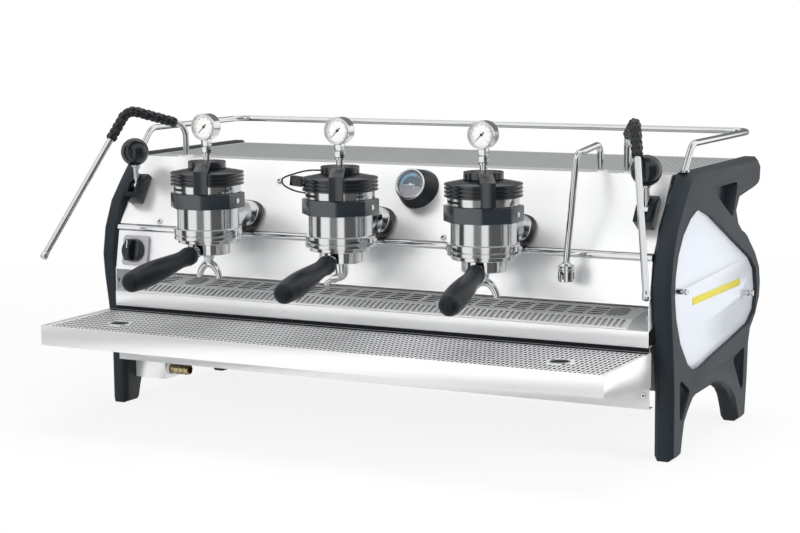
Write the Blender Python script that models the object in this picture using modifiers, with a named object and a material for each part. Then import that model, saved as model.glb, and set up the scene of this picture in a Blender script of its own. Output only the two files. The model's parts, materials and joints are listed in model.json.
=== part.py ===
"""Countertop espresso machine with three brew groups.

Metres, +Z up. The machine stands on its two cast side panels, its front
faces -Y and +X is to the right of someone who stands before it. Everything is
placed in one machine frame, whose X is zero between the side panels and whose
Z is zero on the counter. At the end the whole machine is moved along Y until
its bounding box is centred.
"""
import math

import bmesh
import bpy
from mathutils import Euler, Vector

MODEL_NAME = "commercial_espresso_machine"

# Fits and mesh settings
SEAT_GAP = 0.0003
RUN_GAP = 0.0008
OVERRUN = 0.004
WELD = 0.00005
STEPS = 16
SMALL_STEPS = 8
BALL_STEPS = 10
CURVE_STEPS = 1
THROUGH = 2 * OVERRUN
QUARTER = math.pi / 2
PROFILE_TURN = (QUARTER, 0, QUARTER)
FRONT_TURN = (QUARTER, 0, 0)
ALONG_X = (0, QUARTER, 0)

# Side panels: cast aluminium, outline in shares of depth and height
BODY_WIDTH = 1.0
SIDE_THICK = 0.030
SIDE_FRONT = -0.193
SIDE_DEPTH = 0.436
SIDE_HEIGHT = 0.417
SIDE_CHAMFER = 0.0065
WINDOW_RECESS = 0.0095
WINDOW_LEDGE = 0.012
POCKET_DEPTH = 0.020
POCKET_ROUND = 0.006
POCKET_FLOOR_SHARE = 0.75
INSERT_THICK = 0.003
INSERT_PIN_R = 0.0045
INSERT_PIN_LENGTH = 0.020
INSERT_PIN_GROOVE = 0.0015
INNER = BODY_WIDTH / 2 - SIDE_THICK

SIDE_OUTLINE_SHARES = [
    (0.190, 0.974, "round"), (0.218, 1.000, "round"), (0.943, 1.000, "corner"),
    (0.982, 0.966, "corner"), (0.975, 0.904, "corner"), (0.950, 0.884, "corner"),
    (0.735, 0.858, "round"), (0.706, 0.818, "round"), (0.727, 0.777, "round"),
    (0.787, 0.734, "round"), (0.828, 0.722, "round"), (0.931, 0.640, "round"),
    (0.984, 0.576, "round"), (1.000, 0.508, "round"), (0.991, 0.446, "round"),
    (0.945, 0.379, "round"), (0.885, 0.333, "round"), (0.867, 0.285, "round"),
    (0.857, 0.161, "corner"), (0.835, 0.000, "corner"), (0.745, 0.000, "corner"),
    (0.722, 0.050, "round"), (0.695, 0.098, "round"), (0.647, 0.141, "round"),
    (0.564, 0.178, "round"), (0.477, 0.194, "round"), (0.291, 0.189, "round"),
    (0.248, 0.177, "round"), (0.206, 0.146, "round"), (0.172, 0.113, "round"),
    (0.154, 0.060, "round"), (0.138, 0.000, "corner"), (0.044, 0.000, "corner"),
    (0.044, 0.240, "round"), (0.028, 0.396, "round"), (0.007, 0.528, "round"),
    (0.000, 0.612, "round"), (0.018, 0.719, "round"), (0.064, 0.827, "round"),
    (0.133, 0.911, "round"),
]
WINDOW_OUTLINE_SHARES = [
    (0.312, 0.863, "round"), (0.411, 0.830, "round"), (0.640, 0.724, "round"),
    (0.869, 0.619, "round"), (0.930, 0.568, "round"), (0.952, 0.484, "round"),
    (0.931, 0.405, "round"), (0.860, 0.362, "round"), (0.658, 0.332, "round"),
    (0.433, 0.302, "round"), (0.326, 0.283, "round"), (0.250, 0.288, "round"),
    (0.188, 0.324, "round"), (0.112, 0.410, "round"), (0.069, 0.504, "round"),
    (0.053, 0.585, "round"), (0.060, 0.657, "round"), (0.083, 0.724, "round"),
    (0.131, 0.789, "round"), (0.200, 0.839, "round"), (0.261, 0.861, "round"),
]
# Each pocket's three corners; the first two are on its deep side
POCKET_SHARES = [
    ((0.705, 0.926), (0.650, 0.795), (0.417, 0.926)),
    ((0.110, 0.285), (0.117, 0.108), (0.218, 0.225)),
    ((0.810, 0.283), (0.791, 0.096), (0.672, 0.257)),
]
INSERT_PIN_SHARES = [(0.085, 0.600), (0.805, 0.490)]

# Sheet-metal front and casing, as points of the side view
SHEET = 0.002
TRIM_R = 0.0055
SEAM_Y = -0.180
SEAM_Z = 0.300
TOP_EDGE_Y = -0.105
TOP_EDGE_Z = 0.4145
LOWER_EDGE_Y = -0.1935
LOWER_EDGE_Z = 0.226
RETURN_DEPTH = 0.018
TOP_FOLD = 0.036
REAR_Y = 0.165
CUP_TRAY_REAR_Y = 0.208
CUP_TRAY_RIM = 0.012
CUP_TRAY_BORDER = 0.018
CUP_TRAY_BAR = 0.022
CUP_TRAY_COLUMNS = 12
CUP_TRAY_ROWS = 4
BASE_FRONT_Y = -0.150
BASE_Z = 0.100
BASE_WALL = 0.040
VENT_COUNT = 6
VENT_LENGTH = 0.060
VENT_HEIGHT = 0.005
VENT_PITCH = 0.014
VENT_SET = 0.230

# Deck behind the lip, with its slotted plate
LIP_Y = -0.195
LIP_LOW_Z = 0.1745
LIP_TOP_Z = 0.194
DECK_STRIP_DEPTH = 0.028
DECK_STRIP_RISE = 0.010
DECK_DEPTH = 0.096
DECK_RISE = 0.017
DECK_MARGIN = 0.035
SLOT_WIDTH = 0.0032
SLOT_LENGTH = 0.027
CELL_PITCH = 0.0333
ROW_COUNT = 4
ROW_PITCH = 0.0108
FIRST_ROW_SHARE = 0.7
STRIP_SLOT_LENGTH = 0.020
STRIP_PER_CELL = 2
DECK_HOLE_INSET = 0.084
DECK_HOLE_X = INNER - DECK_HOLE_INSET
DECK_HOLE_LENGTH = 0.042
DECK_HOLE_WIDTH = 0.026

# Drip tray, its grate and the skirt below
TRAY_OVERHANG = 0.007
TRAY_HALF = INNER + TRAY_OVERHANG
TRAY_FRONT_Y = -0.387
TRAY_REAR_Y = -0.203
TRAY_TOP_Z = 0.166
TRAY_FRONT_LOW_Z = 0.134
TRAY_REAR_LOW_Z = 0.114
TRAY_SHEET = 0.0018
GRATE_THICK = 0.002
GRATE_DROP = 0.0025
GRATE_HOLE_R = 0.014
GRATE_HOLE_INSET = 0.097
GRATE_HOLE_X = TRAY_HALF - GRATE_HOLE_INSET
GRATE_HOLE_Y = -0.310
GRATE_RIB_COUNT = 4
GRATE_RIB_WIDTH = 0.003
SKIRT_Y = -0.190
SKIRT_TOP_Z = 0.1715
SKIRT_LOW_Z = 0.080
SKIRT_RETURN = 0.014
RUNNER_X = 0.300
RUNNER_WIDTH = 0.020
RUNNER_THICK = 0.004
RUNNER_REACH_SHARE = 0.85

# Drain
DRAIN_WIDTH = 0.060
DRAIN_DEPTH = 0.080
DRAIN_HEIGHT = 0.0577
DRAIN_LOW_Z = 0.041
DRAIN_Y = -0.105
BARB_R = 0.0065
BARB_LENGTH = 0.062
BARB_BORE_R = 0.0045
BARB_Z = 0.060
WASHER_R = 0.011
WASHER_THICK = 0.002

# Brew groups
GROUP_TO_WAND = 0.155
SOCKET_INSET = 0.076
SOCKET_X = INNER - SOCKET_INSET
GROUP_PITCH = SOCKET_X - GROUP_TO_WAND
GROUP_Y = -0.262
FLANGE_LOW_Z = 0.297
FLANGE_MID_Z = 0.303
FLANGE_TOP_Z = 0.320
FLANGE_LOW_R = 0.0475
FLANGE_R = 0.0535
FLANGE_LUG = 0.010
FLANGE_LUG_WIDTH = 0.014
FLANGE_LUG_HEIGHT = 0.012
BREW_R = 0.0485
COLLAR_LOW_Z = 0.352
COLLAR_HEIGHT = 0.0235
COLLAR_FLATS = 0.109
BAND_R = 0.0525
BAND_LOW_Z = 0.3758
BAND_TOP_Z = 0.3878
CAP_HEIGHT = 0.0195
CAP_R = 0.0575
CAP_FIN_DEPTH = 0.005
CAP_FIN_COUNT = 4
CAP_CROWN_R = 0.031
CAP_CROWN_RISE = 0.0050
BOSS_R = 0.0085
HUB_R = 0.0295
HUB_HEIGHT = 0.0115
HUB_NOTCH_SHARE = 0.72
STRAP_WIDTH = 0.022
STRAP_REACH = 0.068
STRAP_THICK = 0.0075
STRAP_LOW_Z = 0.3775
STRAP_BEND_DROP = 0.011
NECK_Z = 0.3328
NECK_R = 0.025
NECK_FLARE_R = 0.029
GASKET_R = 0.031
GASKET_THICK = 0.006

# Bayonet socket and portafilter
SOCKET_R = 0.0365
SOCKET_TOP_Z = 0.3165
BAYONET_R = 0.0425
BAYONET_LOW_Z = 0.3020
BAYONET_HEIGHT = 0.0075
EAR_REACH = 0.0405
EAR_WIDTH = 0.016
EAR_HEIGHT = 0.0055
RIM_R = 0.0350
BOWL_R = 0.0330
BOWL_LOW_Z = 0.2785
BOWL_TOP_Z = 0.3145
BASKET_R = 0.0290
BASKET_LOW_Z = 0.2850
STEM_R = 0.0055
STEM_COLLAR_R = 0.0085
STEM_LOW_Z = 0.260
SPOUT_SPREAD = 0.0195
SPOUT_TIP_Z = 0.240
SPOUT_TOP_Z = 0.2625
SPOUT_R = 0.0060
SPOUT_TIP_SHARE = 0.55
SPOUT_STEPS = 8
SPOUT_SWEEP = math.radians(77)
BOWL_ROUND = 0.003
ENTRY_ANGLE = math.radians(-50)
HANDLE_Z = 0.2880
HANDLE_DROP = math.radians(9.2)
HANDLE_START = 0.046
HANDLE_END = 0.207
HANDLE_GRIP_R = 0.0180
NECK_ROD_R = 0.0065
NECK_ROD_TAIL = 0.014
HANDLE_STEPS = 12
HANDLE_ROUND_STEPS = 4
HANDLE_END_SHARE = 0.86
# Handle outline: share of its length from the ferrule, share of the grip's radius
HANDLE_SHAPE_SHARES = [(0.78, 0.98), (0.62, 1.0), (0.45, 0.92), (0.30, 0.80), (0.18, 0.72),
                       (0.10, 0.76), (0.06, 0.82), (0.0, 0.78)]
PORTAFILTER_ANGLES = (math.radians(-4), math.radians(4), math.radians(11))
PADDLE_ANGLES = (math.radians(24), math.radians(24), math.radians(31))
GROUP_NAMES = ("left", "middle", "right")

# Group pressure gauges
GAUGE_Z = 0.4777
GAUGE_R = 0.0208
GAUGE_DEPTH = 0.023
GAUGE_BEZEL = 0.0022
GAUGE_RECESS = 0.005
GAUGE_STEM_R = 0.0052
GAUGE_NUT_R = 0.0075
GAUGE_NUT_HEIGHT = 0.009
NEEDLE_THICK = 0.0006
NEEDLE_HUB_R = 0.0020
NEEDLE_LENGTH = 0.0125
NEEDLE_TAIL = 0.0055
NEEDLE_WIDTH = 0.0013
GAUGE_NEEDLE_ANGLE = math.radians(135)

# Boiler pressure gauge on the tilted panel
DRUM_X = 0.065
DRUM_Z = 0.3777
DRUM_RISE = math.radians(21.5)
DRUM_LENGTH = 0.0335
DRUM_FACE_R = 0.025
DRUM_FOOT_R = 0.035
DRUM_FOOT = 0.010
DRUM_BEZEL = 0.0045
DRUM_NEEDLE_SHARE = 1.2
DRUM_NEEDLE_ANGLE = math.radians(94)

# Steam wands and hot water tap
WAND_Y = -0.090
SWIVEL_R = 0.0095
SWIVEL_HEIGHT = 0.014
SWIVEL_NUT_R = 0.013
SWIVEL_NUT_HEIGHT = 0.005
WAND_R = 0.005
WAND_RISE = 0.050
WAND_ARM = 0.112
WAND_ARM_RISE = math.radians(17)
WAND_TURN = math.radians(27)
WAND_BEND_R = 0.024
WAND_TIP_REACH = 0.269
WAND_TIP_Z = 0.262
NOZZLE_R = 0.0062
NOZZLE_LENGTH = 0.012
NOZZLE_TIP_SHARE = 0.6
WAND_START_Z = 0.4152
GRIP_R = 0.0088
GRIP_KNOB_COUNT = 12
GRIP_START = 0.079
GRIP_LENGTH = 0.1445
GRIP_WAIST_SHARE = 0.86
TAP_TO_WAND = 0.043
TAP_X = SOCKET_X - TAP_TO_WAND
TAP_R = 0.005
TAP_RISE = 0.040
TAP_REACH = 0.092
TAP_BEND_R = 0.014
TAP_NOZZLE_R = 0.012
TAP_NOZZLE_LENGTH = 0.0285
TAP_NOZZLE_LOW_Z = 0.2594
TAP_CONE_SHARE = 0.5
TAP_FALL = 0.009
TAP_LEAN = 0.0375

# Steam levers
LEVER_INSET = 0.020
LEVER_X = INNER - LEVER_INSET
LEVER_PIVOT_Z = 0.358
LEVER_PIVOT_OUT = 0.014
LEVER_HOUSING_WIDTH = 0.026
LEVER_HOUSING_HEIGHT = 0.042
LEVER_HOUSING_OUT = 0.027
LEVER_HOUSING_TOP_OUT = 0.012
LEVER_SLOT = 0.012
LEVER_STEM_R = 0.0045
LEVER_LENGTH = 0.062
LEVER_EYE_R = 0.007
LEVER_BALL_R = 0.023
LEVER_TILT = math.radians(4)
LEVER_PIN_R = 0.002
LEVER_PIN_SHARE = 0.9
LEVER_SLOT_DEPTH = 0.060
LEVER_BALL_SHARE = 0.8

# Rotary switch
SWITCH_INSET = 0.040
SWITCH_X = SWITCH_INSET - INNER
SWITCH_Z = 0.263
SWITCH_PLATE = 0.050
SWITCH_PLATE_THICK = 0.006
SWITCH_PLATE_ROUND = 0.006
KNOB_R = 0.020
KNOB_DEPTH = 0.012
KNOB_BAR_WIDTH = 0.009
KNOB_BAR_DEPTH = 0.012
KNOB_SHAFT_R = 0.004
KNOB_SHAFT_BORE_R = 0.0048
KNOB_TAPER_SHARE = 0.93
KNOB_BAR_SHARE = 0.88

# Cup rail
RAIL_R = 0.005
RAIL_X = INNER + SIDE_THICK / 2
RAIL_FOOT_SHARE = 0.2248
RAIL_FOOT_Y = SIDE_FRONT + SIDE_DEPTH * RAIL_FOOT_SHARE
RAIL_LEAN = 0.035
RAIL_LEAN_Y = RAIL_FOOT_Y + RAIL_LEAN
RAIL_RISE = 0.040
RAIL_Z = SIDE_HEIGHT + RAIL_RISE
RAIL_REAR_INSET = 0.021
RAIL_REAR_Y = SIDE_FRONT + SIDE_DEPTH - RAIL_REAR_INSET
RAIL_BEND = 0.030
RAIL_FOOT_R = 0.008
RAIL_FOOT_HEIGHT = 0.004
RAIL_FOOT_CUT = 0.010

# Boilers and electrics inside
STEAM_BOILER_R = 0.072
STEAM_BOILER_LENGTH = 0.520
STEAM_BOILER_X = 0.110
STEAM_BOILER_Y = 0.080
STEAM_BOILER_Z = 0.235
BOILER_DISH = 0.018
BOILER_LEG = 0.030
COFFEE_BOILER_R = 0.046
COFFEE_BOILER_LENGTH = 0.100
COFFEE_BOILER_DISH = 0.010
COFFEE_BOILER_FRONT_Y = -0.135
BOILER_SHOULDER_SHARE = 0.7
FEED_PIPE_R = 0.008
CONTROL_INSET = 0.140
CONTROL_X = CONTROL_INSET - INNER
CONTROL_Y = 0.060
CONTROL_SIZE = (0.200, 0.150, 0.110)

# Sensor of the middle group and its cable, in shares of its reach and its height
CABLE_R = 0.0013
CABLE_REACH = 0.092
CABLE_SHARES = [(0.36, 1.0), (0.50, 0.97), (0.66, 0.90), (0.80, 0.80), (0.93, 0.63),
                (1.00, 0.45), (0.97, 0.28), (0.86, 0.13), (0.72, 0.04)]
SENSOR_SIZE = (0.016, 0.012, 0.014)

# Finishes: colour, roughness, metallic
STAINLESS = ((0.62, 0.63, 0.64), 0.30, 1.0)
POLISHED = ((0.80, 0.81, 0.82), 0.12, 1.0)
CHROME = ((0.78, 0.79, 0.80), 0.08, 1.0)
CAST_BLACK = ((0.020, 0.026, 0.032), 0.42, 0.0)
BLACK_PLASTIC = ((0.015, 0.016, 0.018), 0.45, 0.0)
GREY_PLASTIC = ((0.30, 0.30, 0.31), 0.50, 0.0)
PALE_PANEL = ((0.72, 0.76, 0.82), 0.35, 0.0)
BRASS = ((0.62, 0.50, 0.28), 0.35, 1.0)
COPPER = ((0.70, 0.38, 0.24), 0.35, 1.0)
PAINTED_STEEL = ((0.45, 0.46, 0.47), 0.55, 0.3)


for old in list(bpy.data.objects):
    bpy.data.objects.remove(old, do_unlink=True)

scene = bpy.context.scene
parts = bpy.data.collections.new(MODEL_NAME)
scene.collection.children.link(parts)
cutters = bpy.data.collections.new(MODEL_NAME + "_cutters")
scene.collection.children.link(cutters)


# Meshes

def tidy_mesh(mesh):
    """Weld loose caps, point every face outward and shade round faces smooth."""
    work = bmesh.new()
    work.from_mesh(mesh)
    bmesh.ops.remove_doubles(work, verts=work.verts, dist=WELD)
    bmesh.ops.recalc_face_normals(work, faces=work.faces)
    work.to_mesh(mesh)
    work.free()
    mesh.shade_smooth()
    mesh.set_sharp_from_angle(angle=math.radians(35))
    return mesh


def evaluated_mesh(data, modifiers=()):
    """The mesh that an object with this data and these modifiers ends up with."""
    scratch = bpy.data.objects.new("scratch", data)
    scene.collection.objects.link(scratch)
    for kind, settings in modifiers:
        modifier = scratch.modifiers.new(kind.title(), kind)
        for key, value in settings.items():
            setattr(modifier, key, value)
    graph = bpy.context.evaluated_depsgraph_get()
    mesh = bpy.data.meshes.new_from_object(scratch.evaluated_get(graph))
    bpy.data.objects.remove(scratch)
    return tidy_mesh(mesh)


def primitive(build, **settings):
    """A mesh made by one of the bmesh primitives."""
    work = bmesh.new()
    build(work, **settings)
    mesh = bpy.data.meshes.new("primitive")
    work.to_mesh(mesh)
    work.free()
    return tidy_mesh(mesh)


def box_mesh(x, y, z):
    mesh = primitive(bmesh.ops.create_cube, size=1.0)
    for vertex in mesh.vertices:
        vertex.co = Vector((vertex.co.x * x, vertex.co.y * y, vertex.co.z * z))
    return mesh


def rod_mesh(radius, length, steps=STEPS, end_radius=None):
    """A cylinder or cone about Z, centred; end_radius is that of the +Z end."""
    end = radius if end_radius is None else end_radius
    return primitive(bmesh.ops.create_cone, cap_ends=True, segments=steps,
                     radius1=radius, radius2=end, depth=length)


def ball_mesh(radius, steps=BALL_STEPS):
    return primitive(bmesh.ops.create_uvsphere, u_segments=steps,
                     v_segments=steps // 2, radius=radius)


def turned_mesh(profile, steps=STEPS, closed=False):
    """A solid turned about Z from (radius, height) points, top to bottom."""
    mesh = bpy.data.meshes.new("profile")
    points = [(radius, 0, height) for radius, height in profile]
    edges = [(i, i + 1) for i in range(len(points) - 1)]
    if closed:
        edges.append((len(points) - 1, 0))
    mesh.from_pydata(points, edges, [])
    turn = dict(axis="Z", angle=math.tau, steps=steps, render_steps=steps,
                use_merge_vertices=True, merge_threshold=WELD)
    return evaluated_mesh(mesh, [("SCREW", turn)])


def rounded(points, radius, steps=2):
    """The corners of a polygon, each turned into an arc."""
    result = []
    for i, point in enumerate(points):
        here = Vector(point)
        back = (Vector(points[i - 1]) - here).normalized()
        ahead = (Vector(points[(i + 1) % len(points)]) - here).normalized()
        half = back.angle(ahead) / 2
        centre = here + (back + ahead).normalized() * radius / math.sin(half)
        start = here + back * radius / math.tan(half) - centre
        end = here + ahead * radius / math.tan(half) - centre
        turn = start.angle_signed(end)
        for step in range(steps + 1):
            angle = -turn * step / steps
            spoke = Vector((start.x * math.cos(angle) - start.y * math.sin(angle),
                            start.x * math.sin(angle) + start.y * math.cos(angle)))
            result.append(tuple(centre + spoke))
    return result


def outline_mesh(points, thick, chamfer=0.0, grow=0.0):
    """A flat outline given thickness about its plane, with chamfered rims."""
    curve = bpy.data.curves.new("outline", "CURVE")
    curve.dimensions = "2D"
    curve.fill_mode = "BOTH"
    curve.extrude = thick / 2 - chamfer
    curve.bevel_depth = chamfer
    curve.bevel_resolution = 0
    curve.offset = grow - chamfer
    curve.resolution_u = CURVE_STEPS
    if len(points[0]) == 2:
        spline = curve.splines.new("POLY")
        spline.points.add(len(points) - 1)
        for target, (x, y) in zip(spline.points, points):
            target.co = (x, y, 0, 1)
    else:
        spline = curve.splines.new("BEZIER")
        spline.bezier_points.add(len(points) - 1)
        for target, (x, y, kind) in zip(spline.bezier_points, points):
            target.co = (x, y, 0)
            handle = "VECTOR" if kind == "corner" else "AUTO"
            target.handle_left_type = handle
            target.handle_right_type = handle
    spline.use_cyclic_u = True
    return evaluated_mesh(curve)


def sheet_mesh(path, width, thick=SHEET):
    """A bent sheet that follows (y, z) points, its width along local Z."""
    curve = bpy.data.curves.new("sheet", "CURVE")
    curve.dimensions = "2D"
    curve.fill_mode = "NONE"
    curve.extrude = width / 2
    spline = curve.splines.new("POLY")
    spline.points.add(len(path) - 1)
    for target, (y, z) in zip(spline.points, path):
        target.co = (y, z, 0, 1)
    wall = dict(thickness=thick, offset=0, use_even_offset=True)
    return evaluated_mesh(curve, [("SOLIDIFY", wall)])


def tube_mesh(points, radius, resolution=2, shares=None, cyclic=False):
    """A round tube along the points; shares scale its radius point by point."""
    curve = bpy.data.curves.new("tube", "CURVE")
    curve.dimensions = "3D"
    curve.bevel_depth = radius
    curve.bevel_resolution = resolution
    curve.use_fill_caps = not cyclic
    spline = curve.splines.new("POLY")
    spline.points.add(len(points) - 1)
    for i, target in enumerate(spline.points):
        target.co = (*points[i], 1)
        target.radius = shares[i] if shares else 1.0
    spline.use_cyclic_u = cyclic
    return evaluated_mesh(curve)


def bent_path(corners, radius, steps=4):
    """A 3-D path through the corners, with each inner corner turned into an arc."""
    corners = [Vector(corner) for corner in corners]
    path = [corners[0]]
    for before, here, after in zip(corners, corners[1:], corners[2:]):
        back = (before - here).normalized()
        ahead = (after - here).normalized()
        half = back.angle(ahead) / 2
        reach = radius / math.tan(half)
        centre = here + (back + ahead).normalized() * radius / math.sin(half)
        start = here + back * reach - centre
        end = here + ahead * reach - centre
        for step in range(steps + 1):
            path.append(centre + start.slerp(end, step / steps).normalized() * radius)
    path.append(corners[-1])
    return path


def path_point(path, distance):
    """The point at a distance along a path."""
    for before, after in zip(path, path[1:]):
        step = (after - before).length
        if distance <= step:
            break
        distance -= step
    return before.lerp(after, distance / step)


def path_samples(path, start, length, count):
    """Points at even steps along a length of a path."""
    return [path_point(path, start + length * index / count) for index in range(count + 1)]


# Objects

def material(name, finish):
    colour, roughness, metallic = finish
    made = bpy.data.materials.new(name)
    made.use_nodes = True
    shader = made.node_tree.nodes["Principled BSDF"]
    shader.inputs["Base Color"].default_value = (*colour, 1.0)
    shader.inputs["Roughness"].default_value = roughness
    shader.inputs["Metallic"].default_value = metallic
    return made


def empty(name, parent, location, turn=(0, 0, 0)):
    made = bpy.data.objects.new(name, None)
    parts.objects.link(made)
    made.parent = parent
    made.location = location
    made.rotation_euler = turn
    return made


def piece(name, mesh, finish, parent, location=(0, 0, 0), turn=(0, 0, 0)):
    made = bpy.data.objects.new(name, mesh.copy())
    made.data.name = name
    made.data.materials.clear()
    made.data.materials.append(material(name + "_finish", finish))
    parts.objects.link(made)
    made.parent = parent
    made.location = location
    made.rotation_euler = turn
    return made


def shape(target, mesh, operation, location, turn):
    """Cut the target with a mesh, or join one to it, in the target's parent's frame."""
    tool = bpy.data.objects.new(target.name + "_shape", mesh)
    cutters.objects.link(tool)
    tool.parent = target.parent
    tool.location = location
    tool.rotation_euler = turn
    tool.hide_render = True
    tool.display_type = "WIRE"
    modifier = target.modifiers.new(operation.title(), "BOOLEAN")
    modifier.operation = operation
    modifier.solver = "EXACT"
    modifier.object = tool


def cut(target, mesh, location=(0, 0, 0), turn=(0, 0, 0)):
    shape(target, mesh, "DIFFERENCE", location, turn)


def join(target, mesh, location=(0, 0, 0), turn=(0, 0, 0)):
    shape(target, mesh, "UNION", location, turn)


def merged(meshes):
    """One mesh holding every (mesh, location, turn), for cutters and like solids."""
    work = bmesh.new()
    for mesh, location, turn in meshes:
        first = len(work.verts)
        work.from_mesh(mesh)
        work.verts.ensure_lookup_table()
        added = work.verts[first:]
        matrix = Euler(turn).to_matrix().to_4x4()
        matrix.translation = Vector(location)
        bmesh.ops.transform(work, matrix=matrix, verts=added)
    result = bpy.data.meshes.new("merged")
    work.to_mesh(result)
    work.free()
    return tidy_mesh(result)


# Side panels

def in_side_view(shares):
    """Points of the side view in metres from shares of the panel's size."""
    return [(SIDE_FRONT + share[0] * SIDE_DEPTH, share[1] * SIDE_HEIGHT, *share[2:])
            for share in shares]


def pocket_mesh(corners, outward):
    """A triangular pocket whose floor climbs from its deep side to the face."""
    points = rounded(in_side_view(corners), POCKET_ROUND)
    mesh = outline_mesh(points, 2 * POCKET_DEPTH)
    deep_a, deep_b, shallow = [Vector(corner) for corner in in_side_view(corners)]
    along = (deep_b - deep_a).normalized()
    normal = Vector((-along.y, along.x))
    span = (shallow - deep_a).dot(normal)
    for vertex in mesh.vertices:
        inner = vertex.co.z * outward < 0
        if inner:
            share = (Vector(vertex.co.xy) - deep_a).dot(normal) / span
            vertex.co.z = -outward * POCKET_DEPTH * (1 - share * POCKET_FLOOR_SHARE)
    mesh.update()
    return mesh


def side_panel(root, name, outward):
    middle_x = outward * (BODY_WIDTH - SIDE_THICK) / 2
    outer_x = outward * BODY_WIDTH / 2
    window = in_side_view(WINDOW_OUTLINE_SHARES)
    blank = outline_mesh(in_side_view(SIDE_OUTLINE_SHARES), SIDE_THICK, SIDE_CHAMFER)
    panel = piece("side_panel_" + name, blank, CAST_BLACK, root, (middle_x, 0, 0), PROFILE_TURN)
    cut(panel, outline_mesh(window, 2 * WINDOW_RECESS), (outer_x, 0, 0), PROFILE_TURN)
    cut(panel, outline_mesh(window, 2 * SIDE_THICK, grow=-WINDOW_LEDGE),
        (middle_x, 0, 0), PROFILE_TURN)
    for corners in POCKET_SHARES:
        cut(panel, pocket_mesh(corners, outward), (outer_x, 0, 0), PROFILE_TURN)
    insert_x = outer_x - outward * (WINDOW_RECESS - SEAT_GAP - INSERT_THICK / 2)
    insert = piece("side_insert_" + name, outline_mesh(window, INSERT_THICK, grow=-SEAT_GAP),
                   PALE_PANEL, root, (insert_x, 0, 0), PROFILE_TURN)
    pin = insert_pin_mesh()
    for y, z in in_side_view(INSERT_PIN_SHARES):
        join(insert, pin, (insert_x, y, z), (0, outward * QUARTER, 0))


def insert_pin_mesh():
    """A pin with one turned groove, that stands on a side insert."""
    groove = INSERT_PIN_GROOVE
    length = INSERT_PIN_LENGTH
    profile = [(0, length), (INSERT_PIN_R, length), (INSERT_PIN_R, length - groove * 2),
               (INSERT_PIN_R - groove, length - groove * 2),
               (INSERT_PIN_R - groove, length - groove * 4),
               (INSERT_PIN_R, length - groove * 4), (INSERT_PIN_R, 0), (0, 0)]
    return turned_mesh(profile, SMALL_STEPS)


# Casing

def front_slope():
    """Unit vector up the polished panel, in the side view."""
    return Vector((TOP_EDGE_Y - SEAM_Y, TOP_EDGE_Z - SEAM_Z)).normalized()


def panel_point(z, out=0.0):
    """(y, z) at a height on the polished panel's outer face, moved outward along its normal."""
    up = front_slope()
    normal = Vector((-up.y, up.x))
    on_middle = Vector((SEAM_Y + (z - SEAM_Z) * up.x / up.y, z))
    return on_middle + normal * (SHEET / 2 + out)


def panel_tilt():
    """How far the polished panel leans back from upright."""
    up = front_slope()
    return math.atan2(up.x, up.y)


def panel_lean():
    """Rotation that turns local Z along the polished panel's outward normal."""
    return (QUARTER - panel_tilt(), 0, 0)


def swivel_mesh():
    """A fitting in the top fold that a wand or the tap turns in."""
    nut_low = TOP_EDGE_Z - SHEET
    bore = clearing(WAND_R, SEAT_GAP)
    profile = [(bore, nut_low + SWIVEL_HEIGHT), (SWIVEL_R, nut_low + SWIVEL_HEIGHT),
               (SWIVEL_NUT_R, nut_low + SWIVEL_NUT_HEIGHT), (SWIVEL_NUT_R, nut_low - SHEET * 2),
               (bore, nut_low - SHEET * 2)]
    return turned_mesh(profile, SMALL_STEPS, closed=True)


def clearing(radius, gap, steps=SMALL_STEPS):
    """Radius of a faceted bore whose flats clear a round piece by the gap."""
    return (radius + gap) / math.cos(math.pi / steps)


def inner_width():
    return 2 * (INNER - SEAT_GAP)


def tray_floor(y):
    """Height of the drip tray's sloping underside at a depth."""
    share = (y - TRAY_REAR_Y) / (TRAY_FRONT_Y - TRAY_REAR_Y)
    return TRAY_REAR_LOW_Z + share * (TRAY_FRONT_LOW_Z - TRAY_REAR_LOW_Z)


def runner_mesh():
    """An arm that reaches forward from the skirt under the sloping tray."""
    tip_y = SKIRT_Y + (TRAY_FRONT_Y - SKIRT_Y) * RUNNER_REACH_SHARE
    top = []
    for y in (SKIRT_Y, tip_y):
        top.append((y, tray_floor(y) - SEAT_GAP))
    low = [(y, z - RUNNER_THICK) for y, z in reversed(top)]
    return outline_mesh(top + low, RUNNER_WIDTH)


def cup_openings_mesh(front):
    """A plain grid of openings between the cup tray's bars."""
    width = inner_width() - 2 * CUP_TRAY_BORDER - (CUP_TRAY_COLUMNS - 1) * CUP_TRAY_BAR
    depth = CUP_TRAY_REAR_Y - front - 2 * CUP_TRAY_BORDER - (CUP_TRAY_ROWS - 1) * CUP_TRAY_BAR
    width /= CUP_TRAY_COLUMNS
    depth /= CUP_TRAY_ROWS
    middle_y = (front + CUP_TRAY_REAR_Y) / 2
    opening = box_mesh(width, depth, THROUGH)
    openings = []
    for column in range(CUP_TRAY_COLUMNS):
        x = (column - (CUP_TRAY_COLUMNS - 1) / 2) * (width + CUP_TRAY_BAR)
        for row in range(CUP_TRAY_ROWS):
            y = middle_y + (row - (CUP_TRAY_ROWS - 1) / 2) * (depth + CUP_TRAY_BAR)
            openings.append((opening, (x, y, TOP_EDGE_Z), (0, 0, 0)))
    return merged(openings)


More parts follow.
